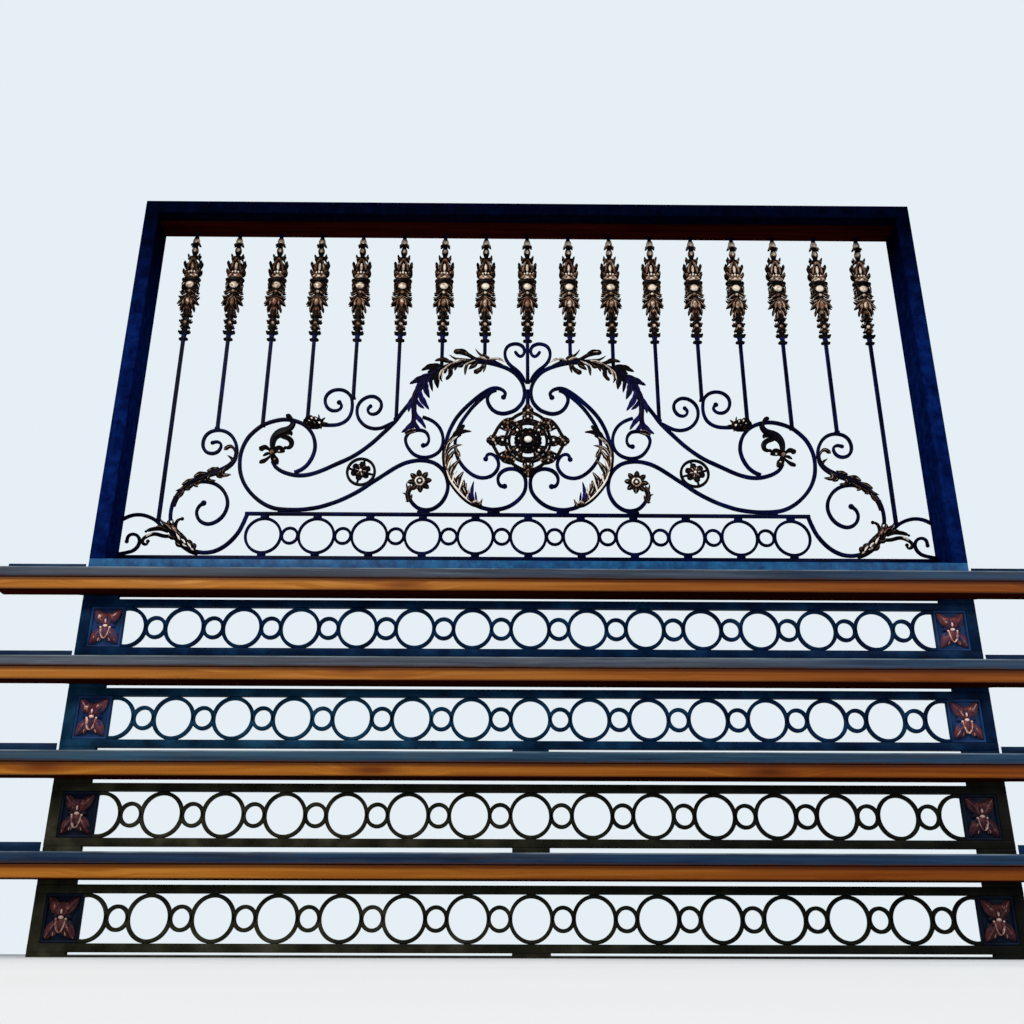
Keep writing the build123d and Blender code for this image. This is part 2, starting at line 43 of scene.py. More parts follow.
# ------------------------------------------------------------------ camera
cam_data = bpy.data.cameras.new("camera")
cam_data.sensor_width = 36.0
cam_data.lens = 1223.0 * 36.0 / 1024.0
cam_data.shift_x = 0.0
cam_data.shift_y = (512.0 - 341.0) / 1024.0 * -1.0
cam_data.clip_start = 0.01
cam = bpy.data.objects.new("camera", cam_data)
bpy.context.scene.collection.objects.link(cam)
YAW, PITCH_UP, ROLL = math.radians(0.53), math.radians(26.651), math.radians(0.14)
fwd = Vector((math.sin(YAW) * math.cos(PITCH_UP), math.cos(YAW) * math.cos(PITCH_UP), math.sin(PITCH_UP)))
right = Vector((math.cos(YAW), -math.sin(YAW), 0.0))
upv = right.cross(fwd)
r2 = right * math.cos(ROLL) + upv * math.sin(ROLL)
u2 = -right * math.sin(ROLL) + upv * math.cos(ROLL)
cam.matrix_world = Matrix(((r2.x, u2.x, -fwd.x, -0.0862), (r2.y, u2.y, -fwd.y, -3.5096),
                           (r2.z, u2.z, -fwd.z, 0.0080), (0, 0, 0, 1)))
bpy.context.scene.camera = cam

# ------------------------------------------------- the model's dimensions, mm
PITCH, OPEN_W, LEDGE_W, MODULE = 165.0, 2580.0, 3040.0, 251.0
LEDGE_T, CAP_T, CAP_DROP, LEDGE_OUT, LEDGE_BACK = 70.0, 29.0, 6.0, 75.0, 24.0
FLANGE_H, FLANGE_T = 27.0, 3.0
GAP_H = MODULE - LEDGE_T
FACE, RAIL, STILE, BAND_D = -12.0, 21.0, 30.0, 24.0
BAND_OPEN = 117.0
BAND_H = BAND_OPEN + 2 * RAIL
BIG_R, SMALL_R, RING_W, RING_D = 59.0, 32.5, 9.8, 16.0
SUR_Z0, SUR_H, SUR_T, SUR_D = 4 * MODULE - CAP_DROP, 1288.0, 14.0, 200.0
JAMB_T, LIP_W, LIP_D, SILL_T = 20.0, 45.0, 12.0, 45.0
PY = FACE + 181.5
BAR = 12.0
BAR_X = [0.0, 143.0, 286.0, 429.0, 573.0, 717.0, 861.0, 1006.0, 1156.0]
SX, SZ, CX, CZ = 1.313, 1.3, 999.0, 2309.0
SOFFIT, BOARD_T = SUR_Z0 + SUR_H - SUR_T, 6.0
FRIEZE_TOP, FRIEZE_BAR, RAIL_TOP, RAIL_H = 1237.0, 11.0, 1106.5, 30.0
FRING_R, FRING_S, FRING_W, FRIEZE_HALF = 59.0, 28.5, 8.5, 888.0
STRIP_T = 5.0
HALF = OPEN_W / 2
PLAQUE_X = 7 * PITCH + 10


def mm(p):
    return ((p[0] - CX) * SX, CZ - SZ * p[1])


def resample(pts, step=4.0, n=None):
    """Even points along a smooth curve through pts, of any dimension."""
    A = np.asarray(pts, float)
    P = np.vstack([A[:1], A, A[-1:]])
    t = (np.arange(12) / 12.0)[:, None]
    out = []
    for i in range(1, len(P) - 2):
        p0, p1, p2, p3 = P[i - 1], P[i], P[i + 1], P[i + 2]
        m1, m2 = (p2 - p0) / 2.0, (p3 - p1) / 2.0
        out.append((2 * t**3 - 3 * t**2 + 1) * p1 + (t**3 - 2 * t**2 + t) * m1
                   + (-2 * t**3 + 3 * t**2) * p2 + (t**3 - t**2) * m2)
    out = np.vstack(out + [P[-1:]])
    d = np.r_[0, np.cumsum(np.linalg.norm(np.diff(out, axis=0), axis=1))]
    if n is None:
        n = max(2, int(round(d[-1] / step)) + 1)
    s = np.linspace(0, d[-1], n)
    return np.stack([np.interp(s, d, out[:, k]) for k in range(out.shape[1])], 1)


# ----------------------------------------------------------- mesh building
class Build:
    def __init__(self):
        self.V, self.F, self.R, self.M, self.n = [], [], [], [], 0

    def add(self, V, F, rub=0.0, mat=0):
        V = np.asarray(V, float).reshape(-1, 3)
        n = self.n
        self.V.append(V)
        self.F.extend([tuple(int(i) + n for i in f) for f in F])
        self.M.extend([mat] * len(F))
        self.R.append(np.array(np.broadcast_to(np.asarray(rub, float).reshape(-1) if np.ndim(rub) else rub, (len(V),))))
        self.n += len(V)

    def data(self):
        return np.concatenate(self.V), list(self.F), np.concatenate(self.R), list(self.M)

    def place(self, other, fn, flip=False):
        V, F, R, M = other.data()
        n = self.n
        self.V.append(fn(V))
        self.F.extend([tuple(i + n for i in (f[::-1] if flip else f)) for f in F])
        self.R.append(R)
        self.M.extend(M)
        self.n += len(V)

    def mirror(self):
        V, F, R, M = self.data()
        n = self.n
        self.V.append(V * np.array([-1.0, 1.0, 1.0]))
        self.F.extend([tuple(i + n for i in f[::-1]) for f in F])
        self.R.append(R)
        self.M.extend(M)
        self.n += len(V)
        return self

    def make(self, name, mats, slot, nodes, sharp=38.0):
        V, F, R, M = self.data()
        me = bpy.data.meshes.new(name)
        me.from_pydata((V * 0.001).tolist(), [], F)
        me.validate()
        if not isinstance(mats, (list, tuple)):
            mats = [mats]
        for m in mats:
            me.materials.append(m)
        if len(mats) > 1:
            me.polygons.foreach_set("material_index", M)
        at = me.attributes.new("rub", "FLOAT", "POINT")
        at.data.foreach_set("value", R.astype(np.float32))
        bm = bmesh.new()
        bm.from_mesh(me)
        bmesh.ops.recalc_face_normals(bm, faces=bm.faces)
        bm.to_mesh(me)
        bm.free()
        me.polygons.foreach_set("use_smooth", [True] * len(me.polygons))
        if sharp:
            me.set_sharp_from_angle(angle=math.radians(sharp))
        ob = bpy.data.objects.new(name, me)
        bpy.context.scene.collection.objects.link(ob)
        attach(ob, "root")
        if nodes:
            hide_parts(*nodes)
        return ob


def strip_faces(n, k, closed_ring=True, closed_path=False):
    F = []
    kk = k if closed_ring else k - 1
    for i in range(n if closed_path else n - 1):
        a, c = i * k, ((i + 1) % n) * k
        for j in range(kk):
            j2 = (j + 1) % k
            F.append((a + j, a + j2, c + j2, c + j))
    return F


def rsec(w, d, r, seg=3):
    """Rounded rectangle section: (across, depth) points."""
    out = []
    r = min(r, w / 2 - 1e-3, d / 2 - 1e-3)
    for cx, cy, a0 in ((w / 2 - r, d / 2 - r, 0), (-w / 2 + r, d / 2 - r, 90), (-w / 2 + r, -d / 2 + r, 180), (w / 2 - r, -d / 2 + r, 270)):
        for k in range(seg + 1):
            a = math.radians(a0 + 90.0 * k / seg)
            out.append((cx + r * math.cos(a), cy + r * math.sin(a)))
    return np.array(out)


def frames2(P, closed=False):
    if closed:
        T = np.roll(P, -1, 0) - np.roll(P, 1, 0)
    else:
        T = np.gradient(P, axis=0)
    T /= np.linalg.norm(T, axis=1)[:, None] + 1e-12
    return T, np.stack([-T[:, 1], T[:, 0]], 1)


def sweep(b, P, sec, y, sn=1.0, sy=1.0, rub=0.0, closed=False, caps=True):
    """A section along a path in the X-Z plane; y is the depth of its middle."""
    P = np.asarray(P, float)
    n, k = len(P), len(sec)
    T, Nn = frames2(P, closed)
    sn = np.broadcast_to(sn, (n,))
    sy = np.broadcast_to(sy, (n,))
    y = np.broadcast_to(y, (n,))
    a = sec[None, :, 0] * sn[:, None]
    c = sec[None, :, 1] * sy[:, None]
    V = np.stack([P[:, 0, None] + Nn[:, 0, None] * a, y[:, None] + c, P[:, 1, None] + Nn[:, 1, None] * a], -1).reshape(-1, 3)
    F = strip_faces(n, k, True, closed)
    r = np.broadcast_to(np.asarray(rub, float), (n * k,)) if np.ndim(rub) == 0 else np.asarray(rub).reshape(-1)
    if not closed and caps:
        e0 = np.array([P[0, 0] - T[0, 0] * sn[0] * 1.2, y[0], P[0, 1] - T[0, 1] * sn[0] * 1.2])
        e1 = np.array([P[-1, 0] + T[-1, 0] * sn[-1] * 1.2, y[-1], P[-1, 1] + T[-1, 1] * sn[-1] * 1.2])
        V = np.vstack([V, e0, e1])
        F = F + [(n * k, (j + 1) % k, j) for j in range(k)]
        o = (n - 1) * k
        F = F + [(n * k + 1, o + j, o + (j + 1) % k) for j in range(k)]
        r = np.r_[r, r[0], r[-1]]
    b.add(V, F, r)


def blob(b, x, y, z, rx, ry, rz, rub=0.0, nu=16, nv=9, mat=0):
    V = [(x, y, z + rz)]
    for i in range(1, nv):
        a = math.pi * i / nv
        for j in range(nu):
            c = 2 * math.pi * j / nu
            V.append((x + rx * math.sin(a) * math.cos(c), y + ry * math.sin(a) * math.sin(c), z + rz * math.cos(a)))
    V.append((x, y, z - rz))
    F = [(0, 1 + j, 1 + (j + 1) % nu) for j in range(nu)]
    for i in range(nv - 2):
        for j in range(nu):
            a, c = 1 + i * nu + j, 1 + i * nu + (j + 1) % nu
            F.append((a, a + nu, c + nu, c))
    last = len(V) - 1
    F += [(last, 1 + (nv - 2) * nu + (j + 1) % nu, 1 + (nv - 2) * nu + j) for j in range(nu)]
    b.add(V, F, rub, mat)


def lathe(b, prof, cx, cy, axis="z", n=20, rub=0.0, lobes=0, amp=0.0, z0=0.0, phase=0.0):
    """Revolved profile of (radius, height); lobes press gadroons into it."""
    prof = np.asarray(prof, float)
    V = []
    a = np.arange(n) * 2 * math.pi / n
    for r, h in prof:
        rr = r * (1 + (amp * np.cos(lobes * a + phase) if lobes else 0))
        if axis == "z":
            V.append(np.stack([cx + rr * np.cos(a), cy + rr * np.sin(a), np.full(n, z0 + h)], 1))
        else:
            V.append(np.stack([cx + rr * np.cos(a), np.full(n, cy + h), z0 + rr * np.sin(a)], 1))
    V = np.concatenate(V)
    F = strip_faces(len(prof), n)
    F.append(tuple(range(n)))
    F.append(tuple(range((len(prof) - 1) * n, len(prof) * n))[::-1])
    if np.ndim(rub):
        rub = np.repeat(np.asarray(rub, float), n)
    b.add(V, F, rub)


def box(b, lo, hi, r=1.5, seg=2, rub=0.0, mat=0, cuts=(1, 1, 1)):
    """Box with rounded edges."""
    bm = bmesh.new()
    bmesh.ops.create_cube(bm, size=1.0)
    s = [hi[i] - lo[i] for i in range(3)]
    c = [(hi[i] + lo[i]) / 2 for i in range(3)]
    for v in bm.verts:
        v.co = Vector([v.co[i] * s[i] + c[i] for i in range(3)])
    r = min(r, min(s) * 0.45)
    bmesh.ops.bevel(bm, geom=list(bm.edges), offset=r, segments=seg, profile=0.5, affect="EDGES")
    bm.verts.index_update()
    V = [tuple(v.co) for v in bm.verts]
    F = [tuple(v.index for v in f.verts) for f in bm.faces]
    bm.free()
    b.add(V, F, rub, mat)


def unit(v):
    return v / (np.linalg.norm(v, axis=-1, keepdims=True) + 1e-12)


def blade(b, P, up, w, th=3.5, dome=0.22, rib=1.2, lobes=0, amp=0.22, m=8, slant=0.25, cup=0.0, base=0.1, gain=0.9, veins=0.0):
    """A leaf blade: spine P (N x 3), rough outer direction up, half widths w (N)."""
    P = np.asarray(P, float)
    n = len(P)
    T = unit(np.gradient(P, axis=0))
    U0 = np.broadcast_to(np.asarray(up, float), (n, 3))
    S = unit(np.cross(U0, T))
    U = unit(np.cross(T, S))
    w = np.asarray(w, float)
    u = np.linspace(-1, 1, m + 1)
    t = np.linspace(0, 1, n)
    if lobes:
        ph = lobes * (t[:, None] - slant / lobes * 2 * np.abs(u)[None, :] + 0.02)
        lob = np.abs(np.sin(math.pi * ph)) ** 0.75
        edge = 1 - amp + amp * np.abs(np.sin(math.pi * (lobes * (t - slant / lobes * 2 + 0.02)))) ** 0.7
    else:
        lob = np.ones((n, m + 1))
        edge = np.ones(n)
    we = (w * edge)[:, None]
    ribp = np.exp(-(u / 0.2) ** 2)[None, :]
    h = (we * dome * (1 - u**2)[None, :] + rib * ribp * np.minimum(1, w / 3.0)[:, None]
         + cup * we * (u**2)[None, :])
    if lobes:
        h = h - (1 - lob) * (0.35 * amp * 4) * np.minimum(1.6, w * 0.16)[:, None] * (0.35 + 0.65 * np.abs(u))[None, :]
    if veins:
        h = h + veins * np.cos(u * 3 * math.pi)[None, :] * np.minimum(1, w / 5.0)[:, None]
    thk = th * (0.3 + 0.7 * (1 - u**2))[None, :] * np.minimum(1, 0.35 + w / 5.0)[:, None]
    top = P[:, None, :] + S[:, None, :] * (u[None, :, None] * we[..., None]) + U[:, None, :] * h[..., None]
    bot = P[:, None, :] + S[:, None, :] * (u[None, :, None] * we[..., None] * 0.94) + U[:, None, :] * (h - thk)[..., None]
    k = m + 1
    V = np.concatenate([top.reshape(-1, 3), bot.reshape(-1, 3)])
    F = []
    o = n * k
    for i in range(n - 1):
        for j in range(m):
            a, c = i * k + j, (i + 1) * k + j
            F.append((a, a + 1, c + 1, c))
            F.append((o + a + 1, o + a, o + c, o + c + 1))
        F.append((i * k, (i + 1) * k, o + (i + 1) * k, o + i * k))
        F.append(((i + 1) * k + m, i * k + m, o + i * k + m, o + (i + 1) * k + m))
    for j in range(m):
        F.append((j + 1, j, o + j, o + j + 1))
        e = (n - 1) * k
        F.append((e + j, e + j + 1, o + e + j + 1, o + e + j))
    # rib and edges get the highest values: rubbed metal, with the painted highlight on top
    rub = np.clip(base + gain * (0.75 * ribp + 0.35 * (np.abs(u)[None, :] > 0.7)) * (0.55 + 0.45 * lob) + 0.18 * t[:, None] * gain, -0.6, 1)
    rub = np.broadcast_to(rub, (n, k))
    b.add(V, F, np.r_[rub.reshape(-1), rub.reshape(-1) * 0.5])


def widths(stops, n):
    """Half widths from (t, half width) stops, rounded at the tip."""
    ts, ws = zip(*stops)
    t = np.linspace(0, 1, n)
    x = resample(np.array(stops, float), n=max(40, 4 * n))
    return np.maximum(np.interp(t, x[:, 0], x[:, 1]), 0.35)


SHAPES_W = {
    "spear": [(0, 0.55), (0.3, 0.85), (0.55, 1.0), (0.8, 0.7), (0.94, 0.35), (1, 0.06)],
    "thorn": [(0, 1.0), (0.3, 0.85), (0.6, 0.6), (0.85, 0.35), (1, 0.08)],
    "club": [(0, 0.4), (0.35, 0.55), (0.6, 0.85), (0.8, 1.0), (0.94, 0.75), (1, 0.22)],
    "strap": [(0, 0.9), (0.3, 1.0), (0.7, 0.95), (0.92, 0.7), (1, 0.25)],
    "fan": [(0, 0.35), (0.3, 0.65), (0.6, 1.0), (0.85, 0.85), (1, 0.3)],
}


def leaflet(b, pts, w, kind="spear", lift=(4.0, 9.0), n=14, mir=False, **kw):
    """Leaflet traced on the panel: pts in trace units, w half width in mm, lift = depth before
    the bars' middle plane at root and tip."""
    q = np.array([mm(p) for p in pts])
    q = resample(q, n=n)
    t = np.linspace(0, 1, n)
    if len(lift) == 2:
        y = PY - (lift[0] + (lift[1] - lift[0]) * t**1.4)
    else:
        y = PY - np.interp(t, np.linspace(0, 1, len(lift)), lift)
    P = np.stack([q[:, 0], y, q[:, 1]], 1)
    ws = widths([(a, c * w) for a, c in SHAPES_W[kind]], n)
    blade(b, P, (0.0, -1.0, 0.0), ws, **kw)


def sheath(b, pts, rs, ry=None, y=None, ribs=7, amp=0.09, step=4.0, rub_lo=0.1, rub_hi=0.8, twist=0.0, k=28):
    """Ribbed stem round a strand: pts in trace units, rs radii in mm at even stations."""
    q = resample([mm(p) for p in pts], step)
    n = len(q)
    t = np.linspace(0, 1, n)
    r = np.interp(t, np.linspace(0, 1, len(rs)), rs)
    rd = np.interp(t, np.linspace(0, 1, len(ry)), ry) if ry is not None else r * 0.8
    yy = np.full(n, PY - 6.0) if y is None else PY - np.interp(t, np.linspace(0, 1, len(y)), y)
    T, N2 = frames2(q)
    a = np.arange(k) * 2 * math.pi / k
    ph = ribs * a[None, :] + twist * t[:, None] * 2 * math.pi
    f = 1 + amp * np.cos(ph)
    V = np.stack([q[:, 0, None] + N2[:, 0, None] * np.cos(a) * r[:, None] * f,
                  yy[:, None] + np.sin(a) * rd[:, None] * f,
                  q[:, 1, None] + N2[:, 1, None] * np.cos(a) * r[:, None] * f], -1).reshape(-1, 3)
    # rib tops get the highest values, rubbed metal with painted highlights; negative values between ribs give the navy
    # painted reflection
    rub = rub_lo + (rub_hi - rub_lo) * np.clip(np.cos(ph), 0, 1)
    F = strip_faces(n, k)
    F.append(tuple(range(k))[::-1])
    F.append(tuple(range((n - 1) * k, n * k)))
    b.add(V, F, rub)


# --------------------------------------------------------------- materials
def material(name, rough=0.5, metallic=0.0, coat=0.0, coat_rough=0.1, spec=0.5):
    m = bpy.data.materials.new(name)
    m.use_nodes = True
    nt = m.node_tree
    bsdf = nt.nodes["Principled BSDF"]
    bsdf.inputs["Roughness"].default_value = rough
    bsdf.inputs["Metallic"].default_value = metallic
    bsdf.inputs["Coat Weight"].default_value = coat
    bsdf.inputs["Coat Roughness"].default_value = coat_rough
    bsdf.inputs["Specular IOR Level"].default_value = spec
    return m, nt, bsdf


def N(nt, kind, **kw):
    n = nt.nodes.new(kind)
    for k, v in kw.items():
        if k.startswith("_"):
            setattr(n, k[1:], v)
        else:
            n.inputs[k.replace("__", " ")].default_value = v
    return n


def coords(nt, scale=(1, 1, 1)):
    tc = nt.nodes.new("ShaderNodeTexCoord")
    mp = nt.nodes.new("ShaderNodeMapping")
    mp.inputs["Scale"].default_value = scale
    nt.links.new(tc.outputs["Object"], mp.inputs["Vector"])
    return mp.outputs["Vector"]


def noise(nt, vec, scale, detail=4.0, rough=0.55, dist=0.0):
    n = nt.nodes.new("ShaderNodeTexNoise")
    n.inputs["Scale"].default_value = scale
    n.inputs["Detail"].default_value = detail
    n.inputs["Roughness"].default_value = rough
    n.inputs["Distortion"].default_value = dist
    nt.links.new(vec, n.inputs["Vector"])
    return n.outputs["Fac"]


def ramp(nt, fac, stops, interp="LINEAR"):
    r = nt.nodes.new("ShaderNodeValToRGB")
    r.color_ramp.interpolation = interp
    el = r.color_ramp.elements
    while len(el) > 1:
        el.remove(el[-1])
    el[0].position, el[0].color = stops[0][0], (*stops[0][1], 1.0)
    for p, c in stops[1:]:
        e = el.new(p)
        e.color = (*c, 1.0)
    nt.links.new(fac, r.inputs["Fac"])
    return r.outputs["Color"]


def remap(nt, fac, a, b_, c, d):
    r = nt.nodes.new("ShaderNodeMapRange")
    r.clamp = True
    for i, v in zip(("From Min", "From Max", "To Min", "To Max"), (a, b_, c, d)):
        r.inputs[i].default_value = v
    nt.links.new(fac, r.inputs["Value"])
    return r.outputs["Result"]


def mixc(nt, fac, a, b_, blend="MIX"):
    x = nt.nodes.new("ShaderNodeMix")
    x.data_type = "RGBA"
    x.blend_type = blend
    for sock, val in ((x.inputs[0], fac), (x.inputs[6], a), (x.inputs[7], b_)):
        if hasattr(val, "is_output"):
            nt.links.new(val, sock)
        elif isinstance(val, (tuple, list)):
            sock.default_value = (*val, 1.0)
        else:
            sock.default_value = val
    return x.outputs[2]


def mathn(nt, op, a, b_=None, clamp=False):
    x = nt.nodes.new("ShaderNodeMath")
    x.operation = op
    x.use_clamp = clamp
    for sock, val in ((x.inputs[0], a), (x.inputs[1], b_)):
        if val is None:
            continue
        if hasattr(val, "is_output"):
            nt.links.new(val, sock)
        else:
            sock.default_value = val
    return x.outputs[0]


def bump(nt, bsdf, height, strength=0.3, dist=0.001, normal=None):
    bp = nt.nodes.new("ShaderNodeBump")
    bp.inputs["Strength"].default_value = strength
    bp.inputs["Distance"].default_value = dist
    nt.links.new(height, bp.inputs["Height"])
    if normal is not None:
        nt.links.new(normal, bp.inputs["Normal"])
    if bsdf is not None:
        nt.links.new(bp.outputs["Normal"], bsdf.inputs["Normal"])
    return bp.outputs["Normal"]


def height(nt, axis="Z"):
    """Height over the foot of the grille in metres, or the position along another axis."""
    tc = nt.nodes.new("ShaderNodeTexCoord")
    sp = nt.nodes.new("ShaderNodeSeparateXYZ")
    nt.links.new(tc.outputs["Object"], sp.inputs["Vector"])
    return sp.outputs[axis]


def attr(nt, name="rub"):
    a = nt.nodes.new("ShaderNodeAttribute")
    a.attribute_name = name
    return a.outputs["Fac"]


# gloss navy-black paint on the hand-forged bars
iron, nt, bs = material("iron_paint", 0.34, 0.0, 0.0, 0.12, 0.02)
v = coords(nt)
big = noise(nt, v, 14.0, 3.0)
fine = noise(nt, v, 160.0, 5.0, 0.6)
col = ramp(nt, big, [(0.3, (0.0004, 0.0008, 0.006)), (0.52, (0.0007, 0.0018, 0.018)), (0.72, (0.0013, 0.005, 0.045))])
dust = remap(nt, fine, 0.64, 0.8, 0.0, 0.12)
col = mixc(nt, dust, col, (0.008, 0.012, 0.030))
# the ring bands: the top one teal navy, the second lighter teal towards its left end, the two lower ones painted brown
# black and darkest to the right, as painted shade
low = ramp(nt, big, [(0.3, (0.008, 0.0078, 0.0050)), (0.52, (0.019, 0.0185, 0.011)), (0.72, (0.042, 0.039, 0.024))])
low = mixc(nt, remap(nt, height(nt, "X"), -0.6, 0.6, 0.0, 0.75), low, (0.0030, 0.0030, 0.0034))
band = ramp(nt, big, [(0.3, (0.0010, 0.0055, 0.020)), (0.52, (0.0018, 0.012, 0.042)), (0.72, (0.0045, 0.030, 0.080))])
pale = ramp(nt, big, [(0.3, (0.0020, 0.011, 0.026)), (0.52, (0.0045, 0.027, 0.060)), (0.72, (0.0095, 0.050, 0.100))])
pale = mixc(nt, remap(nt, height(nt, "X"), -0.5, 0.5, 0.0, 0.95), pale, band)
band = mixc(nt, remap(nt, height(nt), 0.76, 0.74, 0.0, 1.0), band, pale)
col = mixc(nt, remap(nt, height(nt), 0.985, 0.965, 0.0, 1.0), col, band)
col = mixc(nt, remap(nt, height(nt), 0.50, 0.44, 0.0, 1.0), col, low)
nt.links.new(col, bs.inputs["Base Color"])
nt.links.new(remap(nt, fine, 0.3, 0.75, 0.28, 0.46), bs.inputs["Roughness"])
hammer = mathn(nt, "ADD", noise(nt, v, 60.0, 2.0), mathn(nt, "MULTIPLY", fine, 0.2))
bump(nt, bs, hammer, 0.10, 0.0010)


def rubbed(name, ground, blue_reflection, tones, painted_highlight, lo, hi, rough=(0.3, 0.5), spec=0.3, low=None, top=(0.70, 0.92)):
    """Dark paint with metal colour rubbed over the raised work, read from the mesh attribute; its highest values add a
    pale painted highlight (range top), and below zero the attribute turns the ground from black to navy, a painted blue
    reflection. low darkens everything below half a metre to near black, as painted shade."""
    m, nt, bs = material(name, 0.4, 0.0, 0.0, spec=spec)
    v = coords(nt)
    n1 = noise(nt, v, 60.0, 4.0, 0.6)
    n2 = noise(nt, v, 12.0, 2.0)
    n3 = noise(nt, v, 320.0, 3.0, 0.6)
    r = attr(nt)
    f = mathn(nt, "ADD", r, mathn(nt, "MULTIPLY", mathn(nt, "SUBTRACT", n1, 0.5), 0.9))
    f = remap(nt, f, lo, hi, 0.0, 1.0)
    tone = ramp(nt, n2, tones)
    # pale painted highlight over the highest values
    tone = mixc(nt, remap(nt, mathn(nt, "ADD", r, mathn(nt, "SUBTRACT", n1, 0.5)), top[0], top[1], 0.0, 1.0), tone, painted_highlight)
    g = mixc(nt, remap(nt, n2, 0.35, 0.65, 0.0, 1.0), ground[0], ground[1])
    # below zero: navy, a painted blue reflection
    g = mixc(nt, remap(nt, r, -0.05, -0.4, 0.0, 1.0), g, mixc(nt, remap(nt, n1, 0.4, 0.62, 0.0, 1.0), blue_reflection[0], blue_reflection[1]))
    col = mixc(nt, f, g, tone)
    # below half a metre: near black, painted shade
    if low:
        col = mixc(nt, remap(nt, height(nt), 0.50, 0.44, 0.0, low[1]), col, mixc(nt, mathn(nt, "MULTIPLY", f, 0.45), low[0], tone))
    nt.links.new(col, bs.inputs["Base Color"])
    nt.links.new(mathn(nt, "MULTIPLY", f, 0.15), bs.inputs["Metallic"])
    nt.links.new(remap(nt, n3, 0.3, 0.7, rough[0], rough[1]), bs.inputs["Roughness"])
    bump(nt, bs, mathn(nt, "ADD", mathn(nt, "MULTIPLY", n3, 0.4), n1), 0.3, 0.0008)
    return m


# cream on the highest values is a painted highlight, the navy below zero a painted blue reflection
casting = rubbed("rubbed_casting", ((0.0012, 0.0013, 0.0026), (0.004, 0.0024, 0.0022)), ((0.0030, 0.0032, 0.040), (0.012, 0.010, 0.10)),
                 [(0.3, (0.11, 0.040, 0.022)), (0.5, (0.21, 0.115, 0.062)), (0.68, (0.23, 0.090, 0.072))],
                 (0.92, 0.82, 0.72), 0.46, 0.62, spec=0.04, top=(0.66, 0.82))
casting_top = rubbed("rubbed_casting_gold", ((0.0016, 0.0013, 0.0018), (0.006, 0.0032, 0.0024)), ((0.0014, 0.0022, 0.018), (0.003, 0.006, 0.05)),
                     [(0.3, (0.11, 0.036, 0.018)), (0.5, (0.19, 0.095, 0.046)), (0.68, (0.20, 0.070, 0.050))],
                     (0.82, 0.68, 0.54), 0.50, 0.66, spec=0.03, top=(0.72, 0.92))
# plaques: those on the two lower bands are painted near black, as painted shade
plaque_m = rubbed("plaque_metal", ((0.004, 0.014, 0.055), (0.014, 0.048, 0.14)), ((0.002, 0.005, 0.03), (0.003, 0.008, 0.045)),
                  [(0.3, (0.085, 0.016, 0.018)), (0.5, (0.15, 0.042, 0.042)), (0.7, (0.085, 0.022, 0.032))],
                  (0.85, 0.56, 0.48), 0.36, 0.52, spec=0.06, top=(0.72, 0.90), low=((0.0020, 0.0018, 0.0016), 0.85))

# satin navy paint on the sheet-metal surround, mottled and streaked, going near black towards the head as painted shade
# under the soffit


def navy_sheet(name, lo, mid, hi, wash, spec, head_shade=None):
    m, nt, bs = material(name, 0.45, 0.0, 0.0, 0.2, spec)
    v = coords(nt)
    streak = noise(nt, coords(nt, (40.0, 40.0, 2.0)), 1.0, 5.0, 0.6)
    mott = noise(nt, v, 30.0, 5.0, 0.65)
    col = ramp(nt, mott, [(0.3, lo), (0.5, mid), (0.7, hi)])
    col = mixc(nt, remap(nt, streak, 0.55, 0.8, 0.0, 0.45), col, wash)
    # painted shade: near black from 1.75 m up towards the head
    if head_shade:
        col = mixc(nt, remap(nt, height(nt), 1.75, 2.2, 0.0, 0.88), col, head_shade)
    nt.links.new(col, bs.inputs["Base Color"])
    nt.links.new(remap(nt, streak, 0.3, 0.7, 0.38, 0.55), bs.inputs["Roughness"])
    bump(nt, bs, mathn(nt, "ADD", mathn(nt, "MULTIPLY", noise(nt, v, 260.0, 3.0), 0.3), mott), 0.2, 0.001)
    return m


surround = navy_sheet("surround_paint", (0.0007, 0.0022, 0.022), (0.0013, 0.0065, 0.054), (0.0026, 0.014, 0.10), (0.004, 0.024, 0.115), 0.0, (0.0005, 0.0006, 0.0010))
# the same navy paint made lighter for the sill, as painted light on it
sill_paint = navy_sheet("surround_sill_paint", (0.003, 0.026, 0.095), (0.006, 0.066, 0.18), (0.013, 0.12, 0.27), (0.010, 0.14, 0.28), 0.12)

# dark red board on the back half of the soffit
board, nt, bs = material("board_paint", 0.6, 0.0, 0.0, 0.12, 0.0)
v = coords(nt)
grain = noise(nt, coords(nt, (3.0, 60.0, 60.0)), 1.0, 5.0, 0.6)
col = ramp(nt, grain, [(0.3, (0.010, 0.0008, 0.0006)), (0.55, (0.024, 0.0022, 0.0013)), (0.75, (0.042, 0.005, 0.0028))])
nt.links.new(col, bs.inputs["Base Color"])
nt.links.new(remap(nt, noise(nt, v, 20.0), 0.3, 0.7, 0.32, 0.5), bs.inputs["Roughness"])
bump(nt, bs, grain, 0.2, 0.0006)

